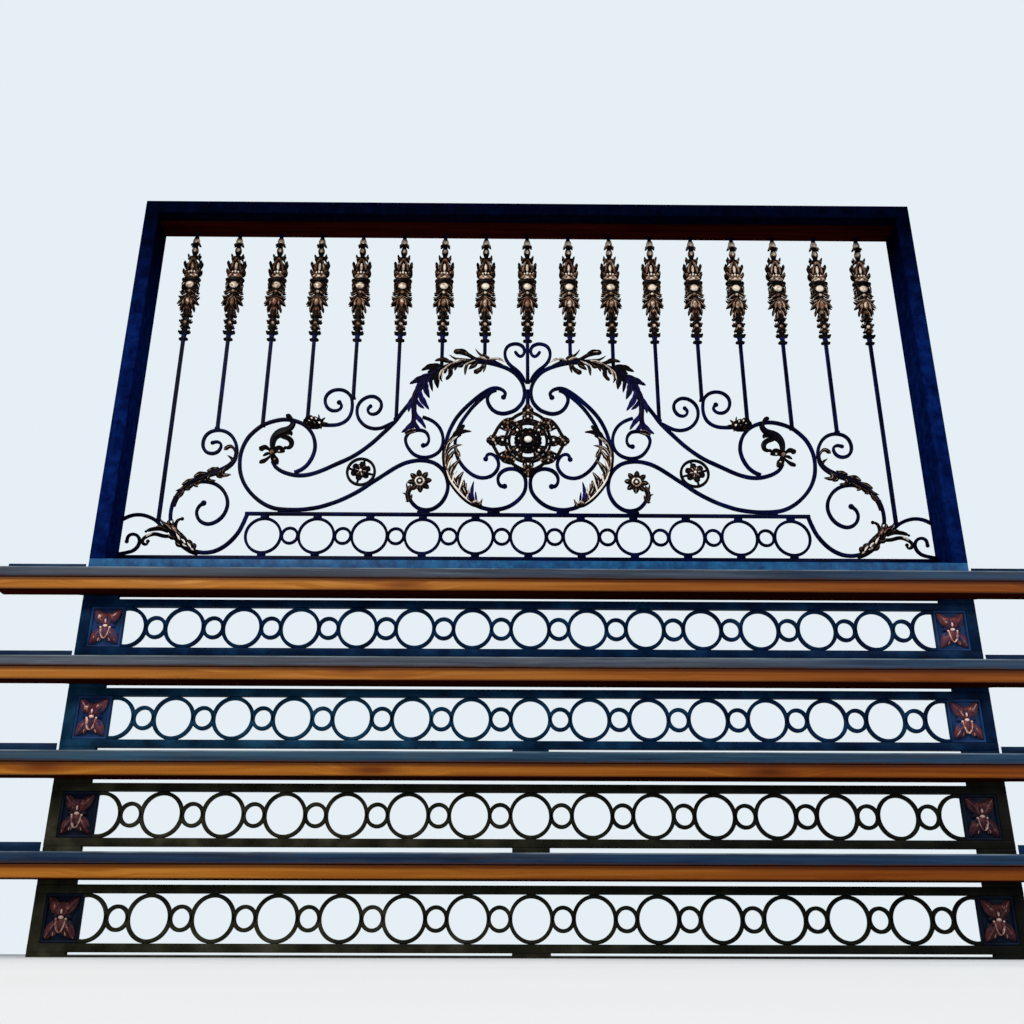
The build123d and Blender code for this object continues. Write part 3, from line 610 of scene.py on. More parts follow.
# weathered blue-grey paint on the ledge caps, with a pale painted highlight on the top arris and red-brown wear,
# deepened as painted shade, on the lower arris
cap, nt, bs = material("ledge_paint", 0.5, 0.0, 0.0, 0.25, 0.14)
v = coords(nt)
streak = noise(nt, coords(nt, (2.2, 60.0, 90.0)), 1.0, 6.0, 0.62, 0.4)
patch = noise(nt, coords(nt, (3.0, 6.0, 20.0)), 1.0, 4.0, 0.6)
tint = ramp(nt, remap(nt, height(nt), 0.1, 1.1, 0.0, 1.0), [(0.13, (0.0040, 0.020, 0.056)), (0.38, (0.012, 0.043, 0.080)), (0.63, (0.054, 0.065, 0.088)),
                                                              (0.88, (0.036, 0.047, 0.070))])
tint = mixc(nt, remap(nt, height(nt, "X"), 0.45, 1.05, 0.0, 0.8), tint, (0.006, 0.034, 0.082))
shade = ramp(nt, streak, [(0.26, (0.22, 0.24, 0.30)), (0.46, (0.75, 0.78, 0.82)), (0.62, (1.45, 1.40, 1.30)), (0.8, (3.2, 2.9, 2.5))])
col = mixc(nt, 1.0, tint, shade, "MULTIPLY")
col = mixc(nt, remap(nt, patch, 0.50, 0.72, 0.0, 0.45), col, (0.050, 0.048, 0.044))
# pale top arris (negative attribute values): a painted highlight
pale = mathn(nt, "MULTIPLY", remap(nt, attr(nt), 0.0, -1.0, 0.0, 1.0), remap(nt, noise(nt, coords(nt, (7.0, 40.0, 40.0)), 1.0, 3.0), 0.38, 0.6, 0.25, 0.9))
col = mixc(nt, pale, col, (0.20, 0.25, 0.29))
# red-brown lower arris (positive values): wear, and painted shade where the cap overhangs the timber
worn_and_shade = attr(nt)
wn = noise(nt, coords(nt, (14.0, 60.0, 60.0)), 1.0, 4.0)
worn_and_shade = mathn(nt, "MULTIPLY", remap(nt, worn_and_shade, 0.0, 1.0, 0.0, 1.0), remap(nt, wn, 0.32, 0.6, 0.45, 1.0))
col = mixc(nt, worn_and_shade, col, (0.050, 0.017, 0.010))
nt.links.new(col, bs.inputs["Base Color"])
nt.links.new(remap(nt, streak, 0.3, 0.7, 0.40, 0.62), bs.inputs["Roughness"])
bump(nt, bs, mathn(nt, "ADD", streak, mathn(nt, "MULTIPLY", noise(nt, v, 220.0, 4.0), 0.3)), 0.3, 0.001)

# oiled softwood fascia with grain and knots, with painted shade along its top under the cap and along its lower arris
timber, nt, bs = material("timber", 0.55, 0.0, 0.0, 0.25, 0.06)
tc = nt.nodes.new("ShaderNodeTexCoord")
vor = nt.nodes.new("ShaderNodeTexVoronoi")
vor.feature = "F1"
mpv = nt.nodes.new("ShaderNodeMapping")
mpv.inputs["Scale"].default_value = (2.6, 14.0, 13.0)
nt.links.new(tc.outputs["Object"], mpv.inputs["Vector"])
nt.links.new(mpv.outputs["Vector"], vor.inputs["Vector"])
vor.inputs["Scale"].default_value = 1.0
vor.inputs["Randomness"].default_value = 1.0
kd = vor.outputs["Distance"]
mg = nt.nodes.new("ShaderNodeMapping")
mg.inputs["Scale"].default_value = (1.6, 70.0, 70.0)
vm = nt.nodes.new("ShaderNodeVectorMath")
vm.operation = "ADD"
nt.links.new(tc.outputs["Object"], mg.inputs["Vector"])
nt.links.new(mg.outputs["Vector"], vm.inputs[0])
cmb = nt.nodes.new("ShaderNodeCombineXYZ")
nt.links.new(remap(nt, kd, 0.0, 0.45, 2.4, 0.0), cmb.inputs["Z"])
nt.links.new(cmb.outputs["Vector"], vm.inputs[1])
g1 = noise(nt, vm.outputs["Vector"], 1.0, 6.0, 0.62, 0.5)
g2 = noise(nt, coords(nt, (1.2, 5.0, 26.0)), 1.0, 3.0)
col = ramp(nt, g1, [(0.28, (0.25, 0.078, 0.010)), (0.45, (0.38, 0.135, 0.020)), (0.58, (0.47, 0.185, 0.035)), (0.75, (0.58, 0.27, 0.070))])
col = mixc(nt, remap(nt, g2, 0.4, 0.75, 0.0, 0.55), col, (0.22, 0.060, 0.010))
knot = remap(nt, kd, 0.07, 0.17, 1.0, 0.0)
col = mixc(nt, knot, col, (0.075, 0.018, 0.006))
ring = remap(nt, kd, 0.17, 0.28, 0.6, 0.0)
col = mixc(nt, ring, col, (0.22, 0.060, 0.012))
# painted shade: dark red-brown along the fascia's top under the cap and its lower arris, from the mesh attribute
fascia_shade = attr(nt)
col = mixc(nt, remap(nt, height(nt), 0.62, 0.56, 0.0, 1.0), col, mixc(nt, 1.0, col, (0.88, 0.80, 0.5), "MULTIPLY"))
col = mixc(nt, remap(nt, height(nt, "X"), -0.7, 0.9, 0.0, 0.92), col, mixc(nt, 1.0, col, (0.50, 0.32, 0.24), "MULTIPLY"))
col = mixc(nt, mathn(nt, "MULTIPLY", fascia_shade, 0.9), col, (0.030, 0.0040, 0.0010))
nt.links.new(col, bs.inputs["Base Color"])
nt.links.new(remap(nt, g1, 0.3, 0.7, 0.38, 0.6), bs.inputs["Roughness"])
bump(nt, bs, mathn(nt, "SUBTRACT", g1, mathn(nt, "MULTIPLY", knot, 0.5)), 0.35, 0.0012)

# the timber's underside, painted near black as the shade beneath the ledge
under_shade, nt, bs = material("timber_under_shade", 0.9, 0.0, 0.0, 0.25, 0.0)
grain = noise(nt, coords(nt, (2.0, 50.0, 50.0)), 1.0, 4.0, 0.6)
col = ramp(nt, grain, [(0.3, (0.010, 0.0012, 0.0004)), (0.6, (0.026, 0.0034, 0.0009)), (0.78, (0.045, 0.0080, 0.0016))])
nt.links.new(col, bs.inputs["Base Color"])
bump(nt, bs, grain, 0.25, 0.001)

# dark blue on the upturned edge of the caps
flange_m, nt, bs = material("flange_paint", 0.5, 0.0, 0.0, 0.25, 0.06)
fn = noise(nt, coords(nt, (6.0, 30.0, 30.0)), 1.0, 4.0, 0.6)
nt.links.new(ramp(nt, fn, [(0.3, (0.0015, 0.006, 0.022)), (0.6, (0.004, 0.020, 0.060)), (0.8, (0.010, 0.045, 0.105))]), bs.inputs["Base Color"])
bump(nt, bs, fn, 0.2, 0.001)

# -------------------------------------------------- scroll centre lines, left
HEART = [(969, 383), (974, 390), (981, 394), (988, 389), (991, 378), (987, 366), (977, 359.5), (967, 358),
         (955, 361), (946, 369), (941.6, 382), (942.4, 396), (948, 410), (958, 422), (970, 432), (980, 443),
         (987, 454), (992, 466)]
ARCH = [(920, 489), (908, 494), (900, 504), (898, 516), (901, 528), (908, 540), (918, 549), (930, 553.5),
        (942, 554), (956, 550), (968, 544), (978, 534), (986, 522), (990, 508), (991, 496), (989, 480),
        (983, 464), (974, 450), (962, 438), (946, 428), (928, 421), (908, 415), (886, 411), (862, 411),
        (838, 414), (814, 419), (792, 427), (772, 438), (754, 452), (738, 470), (724, 492), (712, 514),
        (700, 533), (686, 553), (672, 575), (656, 594), (640, 611), (620, 632), (600, 650), (580, 665.5),
        (560, 678), (540, 688), (520, 698), (500, 708), (480, 716), (460, 721), (440, 722), (420, 718.5),
        (400, 711), (385, 700), (376, 686)]
C_OUT = [(939, 508), (943, 499), (937, 490), (928, 485.5), (918, 484), (905, 487), (890, 496), (876, 507),
         (860, 522), (844, 538.5), (831, 554), (820, 570), (811, 588), (804, 606), (799, 626), (796, 646),
         (795, 666), (797, 686), (802, 706), (809, 724), (818, 741), (831, 759), (846, 775), (863, 789),
         (880, 799), (897, 804.5), (916, 807), (936, 804.5), (954, 798), (970, 787), (983, 773), (991, 758),
         (993.5, 742), (992, 726), (986, 714), (975, 705), (960, 701.5), (945, 704), (933, 712), (926.5, 724),
         (927, 737), (933, 746), (941, 747)]
C_IN = [(899, 499), (886, 511), (872, 525), (859, 540), (848, 556), (838, 572), (830, 588), (824, 604),
        (821, 621), (820, 638), (822, 655), (826, 671), (833, 685), (843, 699), (855, 711), (868, 720),
        (882, 725), (896, 725), (910, 720), (921, 709), (927, 695), (926, 681), (919, 669), (909, 663),
        (900, 665), (896, 675)]
FOOT_C = [(738, 565), (752, 570), (766, 578), (778, 590), (786, 605), (790, 622), (789, 640), (782, 656),
          (769, 667), (753, 672.5), (736, 672), (720, 665), (708, 652), (700, 637), (698, 622), (705, 609),
          (718, 602), (733, 600.5), (746, 605), (753.5, 616), (755, 629), (750, 639), (743, 641)]
BIG_S = [(432, 714.5), (446, 708), (459, 697), (468, 683), (474, 668), (477, 650), (475, 632), (469, 615),
         (459, 600), (446, 588), (430, 580), (412, 575), (396, 574), (380, 576), (360, 582), (342, 591),
         (326, 605), (312, 622), (302, 644), (297, 667), (297, 690), (301, 715), (311, 740), (326, 762),
         (346, 782), (368, 797), (390, 806), (412, 809), (436, 810), (460, 809), (480, 806.5), (500, 802.5),
         (520, 796), (540, 788.5), (560, 779), (580, 768), (600, 755), (620, 740), (640, 726), (660, 711.5),
         (680, 698), (700, 688), (720, 682.5), (740, 681), (760, 684), (776, 691), (789.5, 703), (799, 719),
         (804, 737), (805, 753), (801, 771), (792, 788), (780, 800), (766, 807.5), (750, 808.5), (735, 804),
         (723, 794), (715, 782), (711, 768), (713, 755)]
BRIDGE = [(529, 527), (535, 535), (531, 544.5), (522, 549), (510, 548), (500, 540.5), (494, 528), (493.5, 514),
          (499, 502.5), (510, 494), (524, 491), (537, 493), (548, 499.5), (556.5, 510), (560.5, 524), (561.5, 540),
          (559.5, 556), (553.5, 570), (542, 581), (527, 587), (510, 588.5), (492, 588), (474, 584.5)]
SADDLE = [(606, 537), (601, 544), (603, 553), (611, 558), (622, 556), (630, 548), (634, 536), (632, 524),
          (624, 514.5), (613, 509.5), (600, 510.5), (588, 517), (579, 527.5), (574.5, 541), (575, 557),
          (580, 571), (590, 584), (603, 593), (619, 597), (635, 595.5), (650, 589), (666, 580)]
SIDE_C = [(226, 637), (237, 635), (246, 641), (246, 652), (239, 662), (227, 666), (213, 662), (204, 650),
          (202, 634), (207, 618), (219, 607.5), (237, 604), (255, 608), (270, 619), (280, 634), (285.5, 650),
          (287, 666), (282, 684), (271, 699), (255, 711), (236, 720), (215, 728)]
CORNER_S = [(147, 838), (145.5, 822), (146, 806), (149, 790), (156, 773), (167, 758), (182, 747.5), (200, 741),
            (220, 739.5), (240, 744), (256, 753.5), (268, 767), (276, 783), (278.5, 800), (275, 817), (267, 831),
            (254, 842), (238, 847), (223, 843), (212, 832.5), (207, 817), (211, 803), (220, 795)]
RAIL_C = [(212, 914), (226, 917), (242, 917.5), (260, 914), (279, 904), (297, 887.5), (312, 866), (321, 844), (325.5, 830),
          (327.5, 823.5)]
CORNER_A = [(29, 839), (41, 832), (50, 828), (62, 825), (77, 825), (93, 829), (108, 836), (121, 846), (131, 858)]
JAMB_C = [(28, 923), (42, 921), (56, 918), (68, 914), (78, 904), (81, 890), (75, 878), (63, 873), (53, 878), (51, 890)]

# label, line, width, radius of the rounded ends at start and end (0: none)
SCROLLS = [("heart_scrolls", HEART, 10.5, 5.4, 0), ("arch_scrolls", ARCH, BAR, 0, 0), ("centre_c_scrolls", C_OUT, BAR, 9.0, 9.0),
           ("centre_inner_scrolls", C_IN, 11.0, 0, 8.5), ("arch_foot_scrolls", FOOT_C, 10.5, 0, 8.5),
           ("big_s_scrolls", BIG_S, BAR, 0, 0), ("bridge_scrolls", BRIDGE, 10.5, 8.5, 0),
           ("saddle_scrolls", SADDLE, 10.5, 7.0, 0), ("side_c_scrolls", SIDE_C, 10.5, 7.0, 0),
           ("corner_spirals", CORNER_S, 11.0, 0, 9.5), ("rail_scrolls", RAIL_C, BAR, 0, 0),
           ("corner_arcs", CORNER_A, 10.5, 0, 0), ("jamb_curls", JAMB_C, 10.0, 0, 6.5)]
Z_RAIL = RAIL_TOP
for label, line, w, r0, r1 in SCROLLS:
    b = Build()
    P = resample([mm(p) for p in line], 4.5)
    n = len(P)
    t = np.arange(n) * 4.5
    back = t[::-1]
    sn = np.ones(n)
    # forged ends: thinned before the rounded end
    for r, d in ((r0, t), (r1, back)):
        sn *= (1 - 0.18 * np.exp(-((d - 26) / 18.0) ** 2)) if r else 1.0
    wob = 1 + 0.02 * np.sin(t * 0.043 + len(line)) + 0.015 * np.sin(t * 0.11)
    sweep(b, P, rsec(w, BAR, 2.6, 3), PY, sn * wob, 1.0)
    for r, q, T in ((r0, P[0], P[1] - P[0]), (r1, P[-1], P[-2] - P[-1])):
        if r:
            d = T / np.linalg.norm(T)
            blob(b, q[0] - d[0] * 1.5, PY, q[1] - d[1] * 1.5, r, 6.6, r)
    b.mirror().make(label, iron, "iron_paint", [label])

# uprights
LAND = [468, 402, 428, 572, 515, 575, 592, 600, 838]
uprights = []
b = Build()
sq = rsec(BAR, BAR, 1.6, 3)
for i, x in enumerate(BAR_X):
    for xx in ((x, -x) if x else (x,)):
        zt, zb = SOFFIT - BOARD_T, CZ - SZ * LAND[i]
        uprights.append((xx, zb))
        zz = np.linspace(zt, zb, 26)
        wob = 1 + 0.012 * np.sin(zz * 0.02 + xx)
        sweep(b, np.stack([np.full(26, xx), zz], 1), sq, PY, wob, wob)
        # welded seat under the bar
        box(b, (xx - 8.5, PY - 7.5, zb - 3), (xx + 8.5, PY + 7.5, zb + 5), 2.0)
# filler between the two arch stems, above the rosette
box(b, (-6.5, PY - 6, 1590.0), (6.5, PY + 6, 1675.0), 2.0)
blob(b, 0, PY, 1602.0, 14.0, 6.5, 24.0)
b.make("upright_bars", iron, "iron_paint", ["upright_bars"])

# bottom rail, frieze bar, frieze of rings
b = Build()
box(b, (-HALF + JAMB_T, PY - 6, RAIL_TOP - RAIL_H), (HALF - JAMB_T, PY + 6, RAIL_TOP), 2.0, 3)
b.make("bottom_rail", iron, "iron_paint", ["bottom_rail"])
b = Build()
box(b, (-FRIEZE_HALF, PY - 6, FRIEZE_TOP), (FRIEZE_HALF, PY + 6, FRIEZE_TOP + FRIEZE_BAR), 2.0, 3)
# weld pads between the frieze bar and the scrolls that sit on it
for tx in (415, 748, 916):
    x = (tx - CX) * SX
    for s in (1, -1):
        box(b, (s * x - 20, PY - 5.6, FRIEZE_TOP + FRIEZE_BAR - 1), (s * x + 20, PY + 5.6, FRIEZE_TOP + FRIEZE_BAR + 7), 2.0)
b.make("frieze_bar", iron, "iron_paint", ["frieze_bar"])


def ring(b, cx, cz, r_out, w, d, y, n=56, a0=0.0, a1=360.0, rub=0.0, er=2.4, seg=1):
    r = r_out - w / 2
    sec = rsec(w, d, er, seg)
    if a1 - a0 >= 360:
        a = np.arange(n) * 2 * math.pi / n
        sweep(b, np.stack([cx + r * np.cos(a), cz + r * np.sin(a)], 1), sec, y, rub=rub, closed=True)
    else:
        a = np.radians(np.linspace(a0, a1, max(6, int(n * (a1 - a0) / 360))))
        sweep(b, np.stack([cx + r * np.cos(a), cz + r * np.sin(a)], 1), sec, y, rub=rub)


fz = (FRIEZE_TOP + RAIL_TOP) / 2
b = Build()
for k in range(-5, 6):
    ring(b, k * PITCH, fz, FRING_R, FRING_W, BAR, PY)
    for s in (1, -1):
        e = fz + s * (FRING_R - FRING_W * 0.6)
        z0, z1 = sorted((e, fz + s * (FRIEZE_TOP - RAIL_TOP) / 2))
        box(b, (k * PITCH - 13, PY - 5.4, z0), (k * PITCH + 13, PY + 5.4, z1), 1.6)
for k in range(-5, 5):
    ring(b, (k + 0.5) * PITCH, fz, FRING_S, FRING_W, BAR, PY, 40)
b.make("frieze_rings", iron, "iron_paint", ["frieze_rings"])

# --------------------------------------------------------------- ring bands
PACK_H = (GAP_H - BAND_H) / 2
for n_ in range(4):
    label = f"ring_band_{4 - n_}"
    zc = n_ * MODULE + GAP_H / 2
    y0, y1 = FACE, FACE + BAND_D
    yc = FACE + BAND_D / 2
    b = Build()
    zb, zt = zc - BAND_H / 2, zc + BAND_H / 2
    box(b, (-HALF, y0, zb), (HALF, y1, zb + RAIL), 1.8, 3)
    box(b, (-HALF, y0, zt - RAIL), (HALF, y1, zt), 1.8, 3)
    for s in (-1, 1):
        xa, xb = sorted((s * HALF, s * (HALF - STILE)))
        box(b, (xa, y0 + 0.4, zb + RAIL - 0.5), (xb, y1 - 0.4, zt - RAIL + 0.5), 1.8, 3)
        # fixing screw heads on the stile and packing feet
        for zz in (zc - 30, zc + 30):
            lathe(b, [(5.5, 0.6), (5.5, 0.2), (4.8, -0.35), (2.2, -0.5), (1.9, 0.0)], s * (HALF - STILE / 2), FACE + 0.45, "y", 14, z0=zz)
        xc = s * (HALF - 50)
        box(b, (xc - 50, y0 + 1, zt), (xc + 50, y1 - 1, zt + PACK_H), 1.0)
    for xc in (-(HALF - 50), 0, HALF - 50):
        box(b, (xc - 50, y0 + 1, zb - PACK_H - (CAP_DROP if n_ else 0)), (xc + 50, y1 - 1, zb), 1.0)
    if n_ == 0:
        box(b, (-HALF, y0 + 0.3, 0.0), (HALF, y1 - 0.3, STRIP_T), 1.0)
    for k in range(-6, 7):
        ring(b, k * PITCH, zc, BIG_R, RING_W, RING_D, yc)
    for k in range(-7, 7):
        ring(b, (k + 0.5) * PITCH, zc, SMALL_R, RING_W, RING_D, yc, 40)
    ring(b, -7 * PITCH, zc, BIG_R, RING_W, RING_D, yc, 56, -100.6, 100.6)
    ring(b, 7 * PITCH, zc, BIG_R, RING_W, RING_D, yc, 56, 79.4, 280.6)
    b.make(label, iron, "iron_paint", [label])

# ------------------------------------------------------------------ plaques
pw = HALF - STILE - PLAQUE_X
px = PLAQUE_X + pw / 2
one = Build()
h2 = BAND_OPEN / 2
box(one, (-pw / 2, FACE + 8, -h2), (pw / 2, FACE + 22, h2), 1.0, 2, 0.0)
# raised border
for sx_, sz_ in ((0, 1), (0, -1), (1, 0), (-1, 0)):
    if sx_ == 0:
        box(one, (-pw / 2, FACE + 2, sz_ * (h2 - 3.5) - 3.5), (pw / 2, FACE + 9, sz_ * (h2 - 3.5) + 3.5), 2.4, 3, 0.12)
    else:
        box(one, (sx_ * (pw / 2 - 3.5) - 3.5, FACE + 2.2, -h2 + 1), (sx_ * (pw / 2 - 3.5) + 3.5, FACE + 9, h2 - 1), 2.4, 3, 0.12)
def plaque_leaf(pts, w, kind="spear", y=(2.0, -2.0, 2.0), n=14, **kw):
    q = resample(pts, n=n)
    P = np.stack([q[:, 0], FACE + np.interp(np.linspace(0, 1, n), np.linspace(0, 1, len(y)), y), q[:, 1]], 1)
    blade(one, P, (0, -1, 0), widths([(a, c * w) for a, c in SHAPES_W[kind]], n), **kw)


for sx_ in (1, -1):
    # upper pair: a long leaf with a side lobe, its tip in the corner
    plaque_leaf([(sx_ * 5, 7), (sx_ * 15, 20), (sx_ * 25, 34), (sx_ * 38, 49)], 12.5, "spear", (3, -3, 1, 5), 16, th=9, dome=0.6, rib=0.5, m=8, base=0.38, gain=0.42)
    plaque_leaf([(sx_ * 8, 9), (sx_ * 21, 16), (sx_ * 34, 29)], 6.0, "spear", (3, 0, 4), 10, th=7, dome=0.4, rib=0.6, m=6, base=0.20, gain=0.45)
    plaque_leaf([(sx_ * 4, 12), (sx_ * 10, 25), (sx_ * 15, 36)], 12.0, "club", (2, -3, 1), 10, th=9, dome=0.6, rib=0.3, m=6, base=0.46, gain=0.20)
    # lower pair, broader
    plaque_leaf([(sx_ * 6, -8), (sx_ * 17, -18), (sx_ * 27, -32), (sx_ * 38, -49)], 13.0, "spear", (3, -3, 1, 5), 16, th=9, dome=0.6, rib=0.5, m=8, base=0.36, gain=0.42)
    plaque_leaf([(sx_ * 10, -8), (sx_ * 23, -12), (sx_ * 35, -23)], 6.0, "spear", (3, 0, 4), 10, th=7, dome=0.4, rib=0.6, m=6, base=0.12, gain=0.45)
    plaque_leaf([(sx_ * 5, -14), (sx_ * 13, -28), (sx_ * 17, -42)], 6.5, "club", (2, -1, 3), 10, th=7, dome=0.5, rib=0.8, m=6, base=0.50, gain=0.5)
    # short side leaves
    plaque_leaf([(sx_ * 9, 0), (sx_ * 19, 3), (sx_ * 27, 1)], 5.5, "spear", (3, 0, 4), 10, th=6, dome=0.4, rib=1.0, m=6, base=0.0, gain=0.6)
    # tongue outline
    plaque_leaf([(sx_ * 12, -4), (sx_ * 11, -18), (sx_ * 6, -30), (0, -35)], 3.8, "strap", (-3, -5, -4), 12, th=7, dome=0.6, rib=0.5, m=6, base=0.65, gain=0.35)
plaque_leaf([(0, 6), (0, 20), (0, 38)], 7.0, "club", (0, -3, 2), 10, th=8, dome=0.5, rib=0.6, m=6, base=0.42, gain=0.2)
plaque_leaf([(0, 4), (0, -14), (0, -30)], 11.0, "spear", (0, -1, 1), 10, th=8, dome=0.5, rib=0.4, m=6, base=0.5, gain=0.08)
# bosses at the crossing; their high values give painted highlights
blob(one, 0, FACE - 4, 1, 7.0, 5.0, 4.4, 1.05, 14, 8)
blob(one, 0, FACE - 6, 15, 3.0, 4.0, 6.2, 0.95, 10, 6)
for sx_ in (1, -1):
    blob(one, sx_ * 17, FACE - 9, 25, 6.0, 5.0, 7.0, 0.70, 12, 7)
    blob(one, sx_ * 13, FACE - 2, -3, 3.4, 3.4, 3.4, 0.9, 10, 6)
b = Build()
for n_ in range(4):
    for s in (-1, 1):
        zc = n_ * MODULE + GAP_H / 2
        b.place(one, lambda V, s=s, zc=zc: V * np.array([1, 1, 1]) + np.array([s * px, 0, zc]))
b.make("cross_plaques", plaque_m, "plaque_metal", ["cross_plaques"])

# --------------------------------------------------------------- surround
def holed_plate(b, x0, x1, y0, y1, z0, z1, cy, zs, r, h=10.5, n=24):
    """Upright plate with round holes along X, each in a square patch of half size h."""
    V, F = [], []

    def quad(*q):
        F.append(tuple(range(len(V), len(V) + 4)))
        V.extend(q)

    rects = [(y0, cy - h, z0, z1), (cy + h, y1, z0, z1)]
    ends = [z0] + [v for z in zs for v in (z - h, z + h)] + [z1]
    rects += [(cy - h, cy + h, a, c) for a, c in zip(ends[::2], ends[1::2])]
    for x in (x0, x1):
        for ya, yb_, za, zb_ in rects:
            quad((x, ya, za), (x, yb_, za), (x, yb_, zb_), (x, ya, zb_))
    quad((x0, y0, z0), (x1, y0, z0), (x1, y0, z1), (x0, y0, z1))
    quad((x0, y1, z0), (x1, y1, z0), (x1, y1, z1), (x0, y1, z1))
    quad((x0, y0, z0), (x1, y0, z0), (x1, y1, z0), (x0, y1, z0))
    quad((x0, y0, z1), (x1, y0, z1), (x1, y1, z1), (x0, y1, z1))
    for z in zs:
        for k in range(n):
            a, c = 2 * math.pi * k / n, 2 * math.pi * (k + 1) / n
            p, q = [(cy + r * math.cos(v), z + r * math.sin(v)) for v in (a, c)]
            m0, m1 = [h / max(abs(math.cos(v)), abs(math.sin(v))) for v in (a, c)]
            P, Q = (cy + m0 * math.cos(a), z + m0 * math.sin(a)), (cy + m1 * math.cos(c), z + m1 * math.sin(c))
            for x in (x0, x1):
                quad((x, *p), (x, *P), (x, *Q), (x, *q))
            quad((x0, *p), (x1, *p), (x1, *q), (x0, *q))
    b.add(V, F)


top = SUR_Z0 + SUR_H
b = Build()
box(b, (-HALF, FACE + 1, top - SUR_T), (HALF, FACE + SUR_D, top), 1.5, 2)
box(b, (-HALF, FACE, top - LIP_W), (HALF, FACE + LIP_D, top), 2.0, 3)
b.make("surround_head", surround, "surround_paint", ["surround_head"])
for s, label in ((-1, "jamb_left"), (1, "jamb_right")):
    b = Build()
    xa, xb = sorted((s * HALF, s * (HALF - JAMB_T)))
    zb = SUR_Z0 + SILL_T
    holed_plate(b, xa, xb, FACE + 1, FACE + SUR_D, zb, SOFFIT, FACE + 150.0, (1240.0, 2040.0), 5.5)
    xa, xb = sorted((s * HALF, s * (HALF - LIP_W)))
    box(b, (xa, FACE, zb), (xb, FACE + LIP_D, top - LIP_W), 2.0, 3)
    b.make(label, surround, "surround_paint", [label])
b = Build()
box(b, (-HALF, FACE, SUR_Z0), (HALF, FACE + SUR_D, SUR_Z0 + SILL_T), 2.5, 3)
b.make("surround_sill", sill_paint, "surround_paint", ["surround_sill"])
b = Build()
box(b, (-HALF + JAMB_T, FACE + 100, SOFFIT - BOARD_T), (HALF - JAMB_T, FACE + SUR_D, SOFFIT), 1.2, 2)
b.make("soffit_board", board, "board_paint", ["soffit_board"])

# ----------------------------------------------------------------- ledges
for n_ in range(4):
    zt = (n_ + 1) * MODULE
    b = Build()
    z0, z1 = zt - CAP_DROP - CAP_T, zt - CAP_DROP
    # cap: long section with a worn lower arris, darkened also as painted shade, and a painted highlight along the top
    # arris
    prof = [(FACE + LEDGE_BACK, z0 + 1), (FACE - LEDGE_OUT + 3.0, z0), (FACE - LEDGE_OUT + 1.0, z0 + 0.8), (FACE - LEDGE_OUT, z0 + 2.6),
            (FACE - LEDGE_OUT, z0 + 5.5), (FACE - LEDGE_OUT, z1 - 5.0), (FACE - LEDGE_OUT + 0.9, z1 - 1.8), (FACE - LEDGE_OUT + 3.2, z1 - 0.3),
            (FACE - LEDGE_OUT + 7, z1), (FACE + LEDGE_BACK, z1)]
    rubp = [0, 0.9, 1.0, 0.9, 0.0, 0.0, -0.9, -1.0, -0.9, 0.0]
    b2 = b
    xs = np.linspace(-LEDGE_W / 2, LEDGE_W / 2, 57)
    V, R = [], []
    for x in xs:
        wob = 0.5 * (1 + math.sin(x * 0.011 + n_ * 2.1) * math.sin(x * 0.0037 + n_))
        for (y, z), ru in zip(prof, rubp):
            yy = y
            if abs(x) > HALF and y > FACE:
                yy = FACE
            if y < FACE - 60:
                yy = y + 0.45 * wob
            V.append((x, yy, z))
            R.append(ru)
    k = len(prof)
    F = strip_faces(len(xs), k)
    F.append(tuple(range(k)))
    F.append(tuple(range((len(xs) - 1) * k, len(xs) * k))[::-1])
    b.add(V, F, R)
    for s in (-1, 1):
        xa, xb = sorted((s * (HALF + 5), s * LEDGE_W / 2))
        box(b, (xa, FACE - FLANGE_T, z1 - 1), (xb, FACE, z1 + FLANGE_H), 0.8, 2, 0.0, 1)
    b.make(f"ledge_cap_{4 - n_}", [cap, flange_m], "ledge_paint", [f"ledge_cap_{4 - n_}"])
    b = Build()
    z0, z1 = zt - LEDGE_T, zt - CAP_DROP - CAP_T
    yo = FACE - LEDGE_OUT + 3.0
    # fascia section; its attribute values mark the painted shade at the top strip and the lower arris
    prof = [(FACE + LEDGE_BACK, z0), (yo + 6, z0), (yo + 2.2, z0 + 0.7), (yo + 0.5, z0 + 2.8), (yo, z0 + 6), (yo, z1 - 13), (yo, z1 - 8),
            (yo + 0.8, z1 - 2.5), (yo + 3.5, z1 - 0.8), (FACE + LEDGE_BACK, z1 - 0.5)]
    rubp = [0.9, 0.9, 0.65, 0.1, 0.0, 0.1, 0.8, 0.95, 0.95, 0.95]
    V, R = [], []
    for x in xs:
        for (y, z), ru in zip(prof, rubp):
            yy = y
            if abs(x) > HALF and y > FACE:
                yy = FACE
            V.append((x, yy, z))
            R.append(ru)
    b.add(V, F, R)
    side = len(prof) * (len(xs) - 1)
    # the underside and back faces take the painted-shade underside material
    b.M = [1 if j < side and j % len(prof) in (0, 8, 9) else 0 for j in range(len(F))]
    b.make(f"ledge_timber_{4 - n_}", [timber, under_shade], "timber", [f"ledge_timber_{4 - n_}"])

# ------------------------------------------------- cast ornament on the bars
# A flat casting, the same on both faces; (sideways, drop) in mm from the head of the bar.
CAST_TOP = 2259.0


def flat(V):
    """Press a round body flat, but keep it outside the bar."""
    y = np.abs(V[:, 1])
    return np.stack([V[:, 0], np.sign(V[:, 1]) * (4.2 * np.minimum(1, y / 5.0) + 0.36 * y), V[:, 2]], 1)


